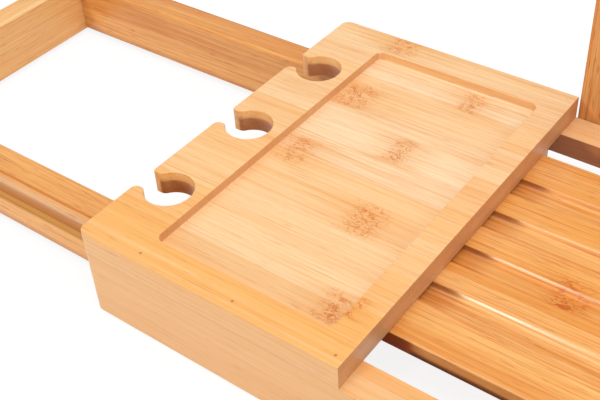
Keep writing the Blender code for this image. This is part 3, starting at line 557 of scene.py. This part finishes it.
def panel_painted_shade(made, colour):
    """Painted shade in the panel's flutes near the boards, where their shadow falls, and, dull, along its
    front face, with a painted shadow on its lower band and by the boards.
    """
    frontward = made.drop(made.facing("y"), *FRONTWARD)
    front = made.times(frontward, made.drop(made.y, *PANEL_FRONT))
    # Painted shade on the front face, with a painted shadow on its lower band and by the boards
    painted_shade = made.blend(made.drop(made.z, *PANEL_BAND), PANEL_FRONT_PAINTED_SHADE, PANEL_BAND_PAINTED_SHADOW)
    painted_shade = made.blend(made.fade(made.size(made.x), *PANEL_BY_BOARD), painted_shade, PANEL_BY_BOARD_PAINTED_SHADOW)
    colour = made.multiplied_by(front, colour, painted_shade)
    made.drive("Coat Weight", made.fade(front, 0.0, 1.0, made.shine, 0.0))
    made.drive("Specular IOR Level", made.fade(front, 0.0, 1.0, PLAIN_SPECULAR, PANEL_FRONT_SPECULAR))
    # Painted shade in the flutes near the boards, darker on their far walls where the boards' shadow falls
    flute = made.times(made.drop(made.z, *FLUTE_TOP), made.fade(made.size(made.x), *FLUTE_ENDS))
    return made.multiplied_by(flute, colour, made.blend(frontward, FLUTE_PAINTED_SHADE, FLUTE_WALL_PAINTED_SHADOW))


def rail_groove_shade_and_edges(made, colour):
    """Painted shade on the back and painted light on the ledge of the arm rails' grooves, and a darker
    tone along the rails' edges.
    """
    inset = made.math("SUBTRACT", RAIL_FACE, made.away(made.y, TRAY_MIDDLE))
    level = made.away(made.z, GROOVE_MIDDLE)
    in_groove = made.times(made.fade(inset, *GROOVE_MOUTH), made.drop(inset, *GROOVE_BACK),
                        made.drop(level, *GROOVE_SPAN))
    # The groove's back painted brown as shade, its ledge painted a lit orange
    tone = made.blend(made.drop(inset, *GROOVE_LEDGE), GROOVE_BACK_PAINTED_SHADE, GROOVE_LEDGE_PAINTED_LIGHT)
    colour = made.blend(made.times(in_groove, GROOVE_SHARE), colour, tone)
    top = made.times(made.drop(inset, *RAIL_TOP_INSET), made.fade(made.z, *RAIL_TOP_HEIGHT))
    lip = made.times(made.drop(made.away(made.z, LIP_MIDDLE), *LIP_HEIGHT), made.drop(inset, *LIP_INSET))
    edges = made.math("MAXIMUM", top, made.math("MAXIMUM", lip, made.drop(made.z, *RAIL_FOOT)))
    return made.multiplied_by(edges, colour, RAIL_EDGE_DARKER)


def bamboo(name, grain, pale, warm, seed, streaks, strip=0.009, ply=0.04, ply_start=0.0, lines=0.3,
           fairness=0.3, lower_tones=(), upper_tones=(), knots=(), knot_spacing=0.25, curls=1.0, sides=(),
           cut=CUT, end_shine=None, shade_by_panel=False, shine=0.25, gloss=0.22, painted_shade=None):
    """The material of a stick or board of bamboo whose fibres run along the axis grain.

    Strips are strip wide and plies ply high from ply_start, and seed sets their chances. Tones
    lie between pale and warm, by chance or by the lists for the plies under and on ply_start,
    and on the long side faces between the two of sides, whose difference from the top's tones
    is painted light and shade. Streaks is the strength of the broad marks, the fibres and the
    dashes, lines that of the thin lines and the knots, and fairness that of the marks back to
    pale. More curls make finer swirls in knots. Cut is what a cut end makes of the warm tone,
    end_shine its coat's weight, and the flag for the ends by the panel dims these with painted
    shade. Shine and gloss are the weight and the roughness of the coat, and the last argument
    paints light and shade into the colour, and darker edges on the rails.
    """
    made = Bamboo(name, grain, warm, strip, ply, ply_start, seed, shine, gloss)
    for ply_number, shares in ((-1.0, lower_tones), (0.0, upper_tones)):
        if shares:
            made.list_tones(ply_number, shares)
    marks = {kind: made.mark(kind) for kind in MARKS}
    fibre = made.fibres(*FIBRES)
    patch, halo = made.knots(knots, knot_spacing)
    swirl = made.swirl(patch, curls)

    colour = made.blend(made.tone, pale, warm)
    # Side faces take the tones of sides; the difference from the top is painted light and shade
    if sides:
        sideways = made.fade(made.size(made.facing("y" if grain == "x" else "x")), *SIDEWAYS)
        colour = made.blend(sideways, colour, made.blend(made.tone, *sides))
    colour = made.blend(made.times(marks["fair"], fairness), colour, pale)
    broad = [(marks[kind], ORANGE_BY[kind] * streaks) for kind in ("cloud", "streak", "thread")]
    to_orange = made.total(*broad, (made.math("SUBTRACT", fibre, 0.5), ORANGE_BY["fibre"] * streaks),
                           (made.seam, ORANGE_BY["seam"]),
                           (patch, ORANGE_BY["knot"] * lines + KNOT_ORANGE_START),
                           (halo, ORANGE_BY["halo"]))
    colour = made.blend(to_orange, colour, tinted(warm, ORANGE))
    to_brown = made.total((marks["dash"], BROWN_BY["dash"] * streaks),
                          (marks["line"], BROWN_BY["line"] * lines))
    colour = made.blend(to_brown, colour, tinted(warm, BROWN))
    to_burnt = made.times(swirl, min(1.0, BURNT_START + BURNT_BY_LINES * lines))
    colour = made.blend(to_burnt, colour, tinted(warm, BURNT))
    end = made.fade(made.size(made.facing(grain)), *ENDWAYS)
    colour = made.blend(end, colour, made.cut_end(warm, cut, shade_by_panel))
    if end_shine is not None:
        made.drive("Coat Weight", made.fade(end, 0.0, 1.0, shine, end_shine))
    # Painted light and shade, and the rails' darker edges
    if painted_shade:
        colour = painted_shade(made, colour)

    made.drive("Base Color", colour)
    made.drive("Roughness", made.math("MULTIPLY_ADD", fibre, *FIBRE_ROUGHNESS))
    relief = made.math("MULTIPLY_ADD", swirl, SWIRL_RELIEF, fibre)
    relief = made.math("MULTIPLY_ADD", marks["dash"], DASH_RELIEF, relief)
    made.bump(relief, BAMBOO_RELIEF)
    return made.material


def steel_finish():
    """Zinc plated steel with fine brushing."""
    made = Finish("zinc_plated_steel", (0.62, 0.62, 0.6), 0.3, metallic=1.0)
    lumps = (made.times(value, lumps) for value, lumps in zip(made.parts(made.place), STEEL_BRUSHING))
    brushed = made.noise(made.joined(*lumps))
    made.drive("Roughness", made.math("MULTIPLY_ADD", brushed, *STEEL_ROUGHNESS))
    made.drive("Base Color", made.blend(made.noise(made.place), STEEL_DARK, STEEL_LIGHT))
    made.bump(brushed, STEEL_RELIEF)
    return made.material


def rubber_finish():
    """Matt black rubber, a little grey with wear."""
    made = Finish("grip_rubber", (0.035, 0.035, 0.037), 0.82)
    grainy = made.speckle(*RUBBER_GRAINS)
    made.drive("Base Color", made.blend(grainy, RUBBER_DARK, RUBBER_LIGHT))
    made.drive("Roughness", made.math("MULTIPLY_ADD", grainy, *RUBBER_ROUGHNESS))
    made.bump(grainy, RUBBER_RELIEF)
    return made.material


def putty_finish(name, dark, light):
    """Wood putty over a brad's head, mottled between two tones."""
    made = Finish(name, light, 0.6)
    made.drive("Base Color", made.blend(made.speckle(*PUTTY_GRAINS), dark, light))
    return made.material


def unit(vectors):
    """Vectors at length one."""
    return vectors / np.linalg.norm(vectors, axis=-1, keepdims=True)


def outline_of(corners, steps=9):
    """Closed outline through corners (a, b, radius), counter-clockwise.

    A corner becomes the arc of its radius that touches both of its edges: the arc's centre
    plus radius times (cos t, sin t), with t turning from the first edge to the second. Two
    round corners share the edge between them.
    """
    corners = np.array(corners, float)
    here, radius = corners[:, :2], corners[:, 2]
    before, after = np.roll(here, 1, 0) - here, np.roll(here, -1, 0) - here
    room = np.minimum(np.linalg.norm(before, axis=1) / (1 + (np.roll(radius, 1) > 0)),
                      np.linalg.norm(after, axis=1) / (1 + (np.roll(radius, -1) > 0)))
    before, after = unit(before), unit(after)
    half = np.arccos(np.clip((before * after).sum(1), -1, 1)) / 2
    reach = np.minimum(radius / np.tan(half), room)
    bend = reach * np.tan(half)
    # The tiny shift keeps a corner without a bend from a division by zero
    middle = unit(before + after + (1e-12, 0))
    centre = here + middle * (bend / np.sin(half))[:, None]
    first = here + before * reach[:, None] - centre
    last = here + after * reach[:, None] - centre
    start = np.arctan2(first[:, 1], first[:, 0])
    turned = np.arctan2(first[:, 0] * last[:, 1] - first[:, 1] * last[:, 0], (first * last).sum(1))
    angle = start[:, None] + turned[:, None] * np.linspace(0, 1, steps)
    points = centre[:, None] + bend[:, None, None] * np.stack((np.cos(angle), np.sin(angle)), -1)
    points = points.reshape(-1, 2)
    points = points[np.linalg.norm(points - np.roll(points, 1, 0), axis=1) > OUTLINE_GAP]
    x, y = points.T
    area = (x * np.roll(y, -1) - np.roll(x, -1) * y).sum()
    return points if area > 0 else points[::-1]


def outward(outline):
    """At each point of an outline, the shift that moves both of its edges out by one."""
    edge = unit(np.roll(outline, -1, 0) - outline)
    normal = np.stack((edge[:, 1], -edge[:, 0]), 1)
    before = np.roll(normal, 1, 0)
    return (normal + before) / (1 + (normal * before).sum(1))[:, None]


def carried(outline, profile):
    """A profile carried round an outline.

    Point (i, j) is outline point i, moved out by the first value of profile point j, at the
    height of its second value.
    """
    shift, height = np.array(profile, float).T
    flat = outline[:, None] + outward(outline)[:, None] * shift[None, :, None]
    return np.insert(flat, 2, height, 2)


def quarter(centre, radius, start, end, steps=6):
    """Profile points on a circle, from one angle to another in degrees."""
    turn = np.radians(np.linspace(start, end, steps + 1))
    return np.stack((centre[0] + radius * np.cos(turn), centre[1] + radius * np.sin(turn)), 1)


def ringed(grid):
    """A grid of points whose rows close into a ring, with the faces between them."""
    rows, columns = grid.shape[:2]
    i, j = np.meshgrid(np.arange(rows), np.arange(columns - 1), indexing="ij")
    following = (i + 1) % rows
    corners = (i * columns + j, following * columns + j, following * columns + j + 1, i * columns + j + 1)
    return grid, np.stack(corners, -1).reshape(-1, 4)


def between(outer, inner, height):
    """The flat sheet between two closed outlines at a height, as points and faces."""
    points = np.insert(np.concatenate((outer, inner)), 2, height, 1)
    loops = [[Vector(point) for point in part.tolist()] for part in np.split(points, [len(outer)])]
    return points, [list(face) for face in tessellate_polygon(loops)]


def in_scene(name, data):
    """A new object in the scene."""
    obj = bpy.data.objects.new(name, data)
    bpy.context.scene.collection.objects.link(obj)
    return obj


def piece(node, ending, patches, finish):
    """A piece in place of a node, from patches of (points, faces) that close its surface."""
    points, faces, count = [], [], 0
    for patch_points, patch_faces in patches:
        points.append(np.asarray(patch_points, float).reshape(-1, 3))
        faces += [[index + count for index in face] for face in patch_faces]
        count += len(points[-1])
    mesh = bpy.data.meshes.new(node + ending)
    mesh.from_pydata(np.concatenate(points).tolist(), [], faces)
    stands_for(merged(node + ending, mesh, finish), node)


def merged(name, mesh, finish, edge=0.0, flatten=False):
    """An object with merged points and, if asked, eased edges, shaded smooth over its curves."""
    bm = bmesh.new()
    bm.from_mesh(mesh)
    bmesh.ops.remove_doubles(bm, verts=bm.verts, dist=MERGED_POINTS)
    bmesh.ops.dissolve_degenerate(bm, edges=bm.edges, dist=DROPPED_EDGE)
    if flatten:
        bmesh.ops.dissolve_limit(bm, angle_limit=np.radians(FLAT_ANGLE), verts=bm.verts, edges=bm.edges)
    else:
        bmesh.ops.recalc_face_normals(bm, faces=bm.faces)
    if edge:
        sharp = np.radians(EASED_ANGLE)
        convex = [side for side in bm.edges if side.is_convex and side.calc_face_angle(0.0) > sharp]
        bmesh.ops.bevel(bm, geom=convex, offset=edge, segments=3, profile=0.5, affect="EDGES",
                        clamp_overlap=True)
    bm.to_mesh(mesh)
    bm.free()
    mesh.materials.clear()
    mesh.materials.append(finish)
    mesh.shade_smooth()
    mesh.set_sharp_from_angle(angle=np.radians(SHARP_ANGLE))
    obj = in_scene(name, mesh)
    weigh = obj.modifiers.new("even_flats", "WEIGHTED_NORMAL")
    weigh.keep_sharp = True
    return obj


def stands_for(obj, *nodes):
    """Let a piece take the place and the body of CAD nodes, which are hidden."""
    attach(obj, BODY_OF[nodes[0]])
    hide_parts(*nodes)


def smooth_copy(node, finish, edge=0.0, close_seam=False):
    """The solid of a node with merged points and joined flats, and with eased edges if asked.

    A closed seam brings the eased top edge back over the ring of points below it and lifts the
    top until it all but touches the board, as a glued joint does.
    """
    mesh = frame["nodes"][node].data.copy()
    mesh.name = node + "_finished"
    if close_seam:
        points = np.empty(len(mesh.vertices) * 3)
        mesh.vertices.foreach_get("co", points)
        points = points.reshape(-1, 3)
        top = points[:, 2].max()
        ring = points[np.abs(points[:, 2] - (top - BOARD_EASED_EDGE)) < SAME_HEIGHT, :2]
        upper = np.flatnonzero(points[:, 2] > top - BOARD_EASED_EDGE + SAME_HEIGHT)
        away = np.linalg.norm(points[upper, None, :2] - ring[None], axis=2)
        close = away.min(1) < SEAM_REACH
        points[upper[close], :2] = ring[away.argmin(1)[close]]
        points[upper, 2] = top + SEAM_CLOSED_BY
        mesh.vertices.foreach_set("co", points.ravel())
    stands_for(merged(node + "_finished", mesh, finish, edge, flatten=True), node)


def notch_rim(steps=73, arc_steps=13):
    """Hole of a keyhole notch and the arcs that lead into it, drawn round the hole's middle.

    The hole is its radius times (cos t, sin t). An arc of radius r touches the mouth's side
    and the hole, so its centre lies at the angle a from the hole's middle with
    sin a = (half mouth + r) / (hole radius + r).
    """
    turns, arcs = [], []
    for way, radius in ((-1, NOTCH_FRONT_THROAT_RADIUS), (1, NOTCH_BACK_THROAT_RADIUS)):
        turn = np.arcsin((NOTCH_HALF_MOUTH + radius) / (NOTCH_RADIUS + radius))
        centre = ((NOTCH_RADIUS + radius) * np.cos(turn), way * (NOTCH_HALF_MOUTH + radius))
        angle = np.linspace(-way * np.pi / 2, way * (turn - np.pi), arc_steps)
        arcs.append(radius * np.stack((np.cos(angle), np.sin(angle)), 1) + centre)
        turns.append(turn)
    angle = np.linspace(-turns[0], turns[1] - 2 * np.pi, steps)
    hole = NOTCH_RADIUS * np.stack((np.cos(angle), np.sin(angle)), 1)
    return np.concatenate((arcs[0][:-1], hole, arcs[1][-2::-1]))


def board(node, outer, inner, notched, finish):
    """A board: its rim carried round the outline, its pocket carried round the pocket's outline.

    The rim's profile is a vertical face between two quarter circles. The pocket's profile is
    an eased edge, a vertical wall and a quarter circle into the floor.
    """
    low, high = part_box(node)
    front, back, bottom, top = low.y, high.y, low.z, high.z
    side = np.sign(outer)
    corners = [(inner, front, 0), (outer, front, BOARD_CORNER_RADIUS)]
    if notched:
        hole, rim = outer - side * NOTCH_INSET, notch_rim()
        for centre in np.linspace(front + NOTCH_FRONT_MARGIN, back - NOTCH_BACK_MARGIN, NOTCH_COUNT):
            corners.append((outer, centre - NOTCH_HALF_MOUTH, NOTCH_FRONT_LIP_RADIUS))
            corners += [(hole + side * away, centre + across, 0) for away, across in rim]
            corners.append((outer, centre + NOTCH_HALF_MOUTH, NOTCH_BACK_LIP_RADIUS))
    corners += [(outer, back, BOARD_CORNER_RADIUS), (inner, back, 0)]
    outline = outline_of(corners)
    eased, seam = BOARD_EASED_EDGE, BOARD_SEAM_EDGE
    rim = np.concatenate((quarter((-seam, bottom + seam), seam, -90, 0),
                          quarter((-eased, top - eased), eased, 0, 90)))
    shell = carried(outline, rim)

    near, far = inner + side * POCKET_INNER_MARGIN, outer - side * POCKET_OUTER_MARGIN
    nearest, farthest = front + POCKET_FRONT_MARGIN, back - POCKET_BACK_MARGIN
    radius, floor = POCKET_CORNER_RADIUS, top - POCKET_DEPTH
    pocket = outline_of([(near, nearest, radius), (far, nearest, radius), (far, farthest, radius),
                         (near, farthest, radius)])
    lip, fillet = POCKET_EASED_EDGE, POCKET_FLOOR_RADIUS
    wall = np.concatenate((quarter((lip, top - lip), lip, 90, 180),
                           quarter((-fillet, floor + fillet), fillet, 0, -90)))
    well = carried(pocket, wall)
    underside = [list(range(len(outline)))]
    floor_face = [list(range(len(pocket)))]
    patches = [ringed(shell), (shell[:, 0], underside), between(shell[:, -1, :2], well[:, 0, :2], top),
               ringed(well), (well[:, -1], floor_face)]
    piece(node, "_finished", patches, finish)


def revolved(profile, start, direction, sides=24):
    """A profile of (distance along, radius) turned round a line, closed where its radius is zero."""
    along, radius = np.array(profile, float).T
    turn = np.linspace(0, 2 * np.pi, sides, endpoint=False)
    local = np.stack((radius * np.cos(turn)[:, None], radius * np.sin(turn)[:, None],
                      np.broadcast_to(along, (sides, len(along)))), -1)
    return placed(local, start, direction)


def placed(local, start, direction):
    """Points drawn along +Z, turned to a direction and moved to a start."""
    turn = np.array(Vector((0, 0, 1)).rotation_difference(Vector(direction)).to_matrix())
    return local @ turn.T + np.array(start)


def screw_head(radius, rise, recess, start, direction, sides=96, rings=28):
    """A screw head with a cross recess.

    At the share r of the radius and the angle t the height is a shallow dome, rise times
    (1 - r squared), less the recess wherever the point lies within an arm of the cross and
    inside its reach. The last two rings turn down the rim and close the underside.
    """
    r, t = np.meshgrid(np.linspace(0, 1, rings), np.linspace(0, 2 * np.pi, sides, endpoint=False))
    x, y = r * np.cos(t), r * np.sin(t)
    arm = np.minimum(np.abs(x), np.abs(y))
    sunk = np.clip((CROSS_HALF_WIDTH - arm) / CROSS_SIDE_SLOPE, 0, 1)
    sunk = sunk * np.clip((CROSS_REACH - r) / CROSS_END_SLOPE, 0, 1)
    height = rise * (1 - r ** 2) - recess * sunk
    top = np.stack((radius * x, radius * y, height), -1)
    rim = top[:, -1:] * (1, 1, 0) + (0, 0, -recess)
    under = rim * (0, 0, 1)
    return placed(np.concatenate((top, rim, under), 1), start, direction)


def screw(node, outwards, sink, rise, recess, gap, shank, cone=None):
    """A screw in place of its solid: a head sunk below the solid's face, and a shank."""
    low, high = (np.array(corner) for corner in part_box(node))
    outwards = np.array(outwards)
    radius = (high[0] - low[0]) / 2
    face = np.where(outwards > 0, high, np.where(outwards < 0, low, (low + high) / 2))
    centre = face - sink * outwards
    head = screw_head(HEAD_SHARE * radius, rise, recess, centre, outwards)
    top = [(0, 0)] if cone is None else [(0, 0), (0, cone * radius)]
    neck = revolved([*top, *shank], centre - gap * outwards, -outwards)
    piece(node, "_finished", [ringed(head), ringed(neck)], FINISHES["steel"])


def screws():
    """The screws of the hinge brackets and the panel, with cross recesses."""
    for side in SIDES:
        for number in (1, 2):
            screw(f"{side}_bracket_screw_{number}", **BRACKET_SCREW)
            screw(f"{side}_panel_screw_{number}", **PANEL_SCREW)


def putty_dots():
    """A dot of putty over each brad, 0.04 mm above the board near its rim and 0.01 mm in its middle."""
    putties = {row: putty_finish(*tones) for row, tones in PUTTIES.items()}
    board_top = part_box("glass_board")[1].z
    for side in SIDES:
        for row, putty in putties.items():
            for number in (1, 2, 3):
                node = f"{side}_brad_{row}_{number}"
                low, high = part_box(node)
                centre = ((low.x + high.x) / 2, (low.y + high.y) / 2, board_top)
                dot = revolved(PUTTY_PROFILE, centre, (0, 0, 1))
                piece(node, "_putty", [ringed(dot)], putty)


def rubber_pads():
    """Grip pads with grooves across their underside.

    The underside is drawn in rings that shrink to the middle. At x from the middle it is raised
    by half the grooves' depth times (1 - cos(2 pi x / pitch)), less towards the rim. The top
    is flat.
    """
    for side in SIDES:
        for row in ROWS:
            node = f"{side}_arm_{row}_pad"
            low, high = (np.array(corner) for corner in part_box(node))
            middle, half = (low + high) / 2, (high - low)[:2] / 2
            outline = outline_of([(*(half * signs), PAD_CORNER_RADIUS) for signs in SQUARE], steps=17)
            share = np.linspace(1, 0, PAD_RINGS)
            rings = outline[:, None] * share[None, :, None]
            groove = PAD_GROOVE_HALF_DEPTH * (1 - np.cos(2 * np.pi * rings[..., 0] / PAD_GROOVE_PITCH))
            groove = groove * np.clip((1 - share) / PAD_PLAIN_RIM, 0, 1)
            under = np.insert(rings, 2, groove, 2)
            above = np.insert(rings[:, ::-PAD_TOP_STEP], 2, high[2] - low[2], 2)
            skin = np.concatenate((above, under), 1) + (*middle[:2], low[2])
            piece(node, "_ribbed", [ringed(skin)], FINISHES["rubber"])


def new_node(tree, kind, **inputs):
    """A new shader node of a tree with some of its inputs set."""
    node = tree.nodes.new("ShaderNode" + kind)
    for name, value in inputs.items():
        node.inputs[name].default_value = value
    return node


def seen_by(tree, *kinds):
    """One for rays of these kinds and nothing for the others."""
    rays = new_node(tree, "LightPath")
    seen = rays.outputs[kinds[0]]
    for kind in kinds[1:]:
        either = new_node(tree, "Math")
        either.operation = "MAXIMUM"
        tree.links.new(seen, either.inputs[0])
        tree.links.new(rays.outputs[kind], either.inputs[1])
        seen = either.outputs[0]
    return seen


def mixed(tree, share, first, second):
    """Two shaders mixed by a share."""
    mix = new_node(tree, "MixShader")
    for socket, output in zip(mix.inputs, (share, first, second)):
        tree.links.new(output, socket)
    return mix.outputs[0]


def studio_floor():
    """A white floor that glows for the camera, so that it stays pale and has a soft shadow."""
    mesh = bpy.data.meshes.new("floor")
    corners = [(FLOOR_HALF * x, FLOOR_HALF * y, FLOOR_HEIGHT) for x, y in SQUARE]
    mesh.from_pydata(corners, [], [(0, 1, 2, 3)])
    floor = in_scene("floor", mesh)
    paper = bpy.data.materials.new("white_paper")
    paper.use_nodes = True
    tree = paper.node_tree
    tree.nodes.clear()
    plain, faint = (new_node(tree, "BsdfDiffuse", Color=(grey, grey, grey, 1))
                    for grey in (FLOOR_GREY, SEEN_FLOOR_GREY))
    glow = new_node(tree, "Emission", Strength=SEEN_FLOOR_GLOW)
    shown = new_node(tree, "AddShader")
    tree.links.new(faint.outputs[0], shown.inputs[0])
    tree.links.new(glow.outputs[0], shown.inputs[1])
    seen = seen_by(tree, "Is Camera Ray", "Is Glossy Ray", "Is Transmission Ray")
    out = new_node(tree, "OutputMaterial")
    tree.links.new(mixed(tree, seen, plain.outputs[0], shown.outputs[0]), out.inputs["Surface"])
    mesh.materials.append(paper)


def studio():
    """The floor, a white background over a dimmer ambient light, and soft lights."""
    studio_floor()
    world = bpy.data.worlds.new("studio")
    bpy.context.scene.world = world
    world.use_nodes = True
    tree = world.node_tree
    ambient = tree.nodes["Background"]
    ambient.inputs["Color"].default_value = (1, 1, 1, 1)
    ambient.inputs["Strength"].default_value = AMBIENT_LIGHT
    backdrop = new_node(tree, "Background", Color=(1, 1, 1, 1), Strength=1.0)
    seen = seen_by(tree, "Is Camera Ray", "Is Transmission Ray")
    tree.links.new(mixed(tree, seen, ambient.outputs[0], backdrop.outputs[0]),
                   tree.nodes["World Output"].inputs["Surface"])
    for name, place, aim, size, power in LIGHTS:
        lamp = bpy.data.lights.new(name, "AREA")
        lamp.shape = "SQUARE"
        lamp.size = size
        lamp.energy = power
        light = in_scene(name, lamp)
        light.location = place
        light.rotation_euler = (Vector(aim) - Vector(place)).to_track_quat("-Z", "Y").to_euler()


def camera():
    """Camera at the photograph's viewing angle."""
    lens = bpy.data.cameras.new("photo_camera")
    lens.sensor_width = CAMERA_SENSOR
    lens.lens = CAMERA_LENS
    lens.clip_start = 0.01
    eye = in_scene("photo_camera", lens)
    turn = Matrix((CAMERA_RIGHT, CAMERA_UP, CAMERA_BACK)).transposed().to_4x4()
    eye.matrix_world = Matrix.Translation(CAMERA_PLACE) @ turn
    bpy.context.scene.camera = eye


# The boards' side faces take the aprons' tones, their difference from the top being painted light and
# shade, and their ends by the panel get painted shade
BOARD = {"grain": "x", "pale": BOARD_PALE, "warm": BOARD_WARM, "strip": 0.0255, "ply": 0.0048,
         "ply_start": 0.0463, "streaks": 0.8, "lines": 0.7, "sides": (APRON_PALE, APRON_WARM),
         "cut": BOARD_CUT, "end_shine": 0.03, "shade_by_panel": True}
FINISHES = {
    "glass_board": bamboo("glass_board_bamboo", seed=5.3235, knots=GLASS_BOARD_KNOTS,
                          lower_tones=POCKET_TONES, upper_tones=MARGIN_TONES, painted_shade=notch_painted_light_and_shadow, **BOARD),
    "soap_board": bamboo("soap_board_bamboo", seed=8.3235, **BOARD),
    "panel": bamboo("panel_bamboo", "x", FRAME_PALE, FRAME_WARM, seed=2.6, streaks=1.5, ply=0.02,
                    lines=1.1, fairness=1.0, knots=PANEL_KNOTS, curls=0.7, shine=0.34, gloss=0.2,
                    painted_shade=panel_painted_shade),
    "front_apron": bamboo("apron_bamboo", "x", APRON_PALE, APRON_WARM, seed=3.7, streaks=0.6,
                          knot_spacing=0.8, painted_shade=inner_painted_shade),
    # Paler tones on the back apron: painted light
    "back_apron": bamboo("back_apron_lit_bamboo", "x", BACK_APRON_LIT_PALE, BACK_APRON_LIT_WARM, seed=4.4, streaks=0.7,
                         knot_spacing=0.8, painted_shade=inner_painted_shade),
    "rail": bamboo("rail_bamboo", "x", RAIL_PALE, RAIL_WARM, seed=6.1, streaks=1.5, strip=0.008, lines=1.0,
                   fairness=1.0, knot_spacing=0.9, shine=0.35, gloss=0.2, painted_shade=rail_groove_shade_and_edges),
    "rest": bamboo("rest_bamboo", "x", FRAME_PALE, FRAME_WARM, seed=9.1, streaks=1.4, strip=0.04,
                   ply=0.008, lines=0.8, fairness=0.8, knot_spacing=0.5),
    "bar": bamboo("bar_bamboo", "y", BAR_PALE, BAR_WARM, seed=5.2, streaks=1.4, strip=0.008, lines=0.8,
                  fairness=0.8, knots=BAR_KNOTS, sides=BAR_SIDES),
    "post": bamboo("post_bamboo", "z", POST_PALE, POST_WARM, seed=1.9, streaks=1.9, strip=0.0055,
                   lines=1.8, fairness=1.0, knot_spacing=0.6),
    "dowel": bamboo("dowel_beech", "x", DOWEL_PALE, DOWEL_WARM, seed=7.7, streaks=0.5, strip=0.02,
                    ply=0.02, knot_spacing=3.0, shine=0.0),
    "steel": steel_finish(),
    "rubber": rubber_finish(),
}

glass_low, glass_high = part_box("glass_board")
soap_low, soap_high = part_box("soap_board")
board("glass_board", glass_low.x, glass_high.x, True, FINISHES["glass_board"])
board("soap_board", soap_high.x, soap_low.x, False, FINISHES["soap_board"])
smooth_copy("slat_panel", FINISHES["panel"])
for row in ROWS:
    smooth_copy(row + "_apron", FINISHES[row + "_apron"], close_seam=True)
    for side in SIDES:
        smooth_copy(f"{side}_{row}_tongue", FINISHES["front_apron"])
        smooth_copy(f"{side}_arm_{row}_rail", FINISHES["rail"])
        for number in (1, 2):
            smooth_copy(f"{side}_arm_{row}_dowel_{number}", FINISHES["dowel"])
for bar in ("rest_foot_rail", "rest_crest_rail", "rest_slat_1", "rest_slat_2", "rest_slat_3"):
    smooth_copy(bar, FINISHES["rest"], REST_EASED_EDGE)
for side in SIDES:
    smooth_copy(f"{side}_arm_end_bar", FINISHES["bar"])
    smooth_copy(f"{side}_rest_post", FINISHES["post"])
    smooth_copy(f"{side}_hinge_bracket", FINISHES["steel"])
    smooth_copy(f"{side}_pivot_pin", FINISHES["steel"])
screws()
putty_dots()
rubber_pads()
studio()
camera()
bpy.context.scene.view_settings.view_transform = "Standard"
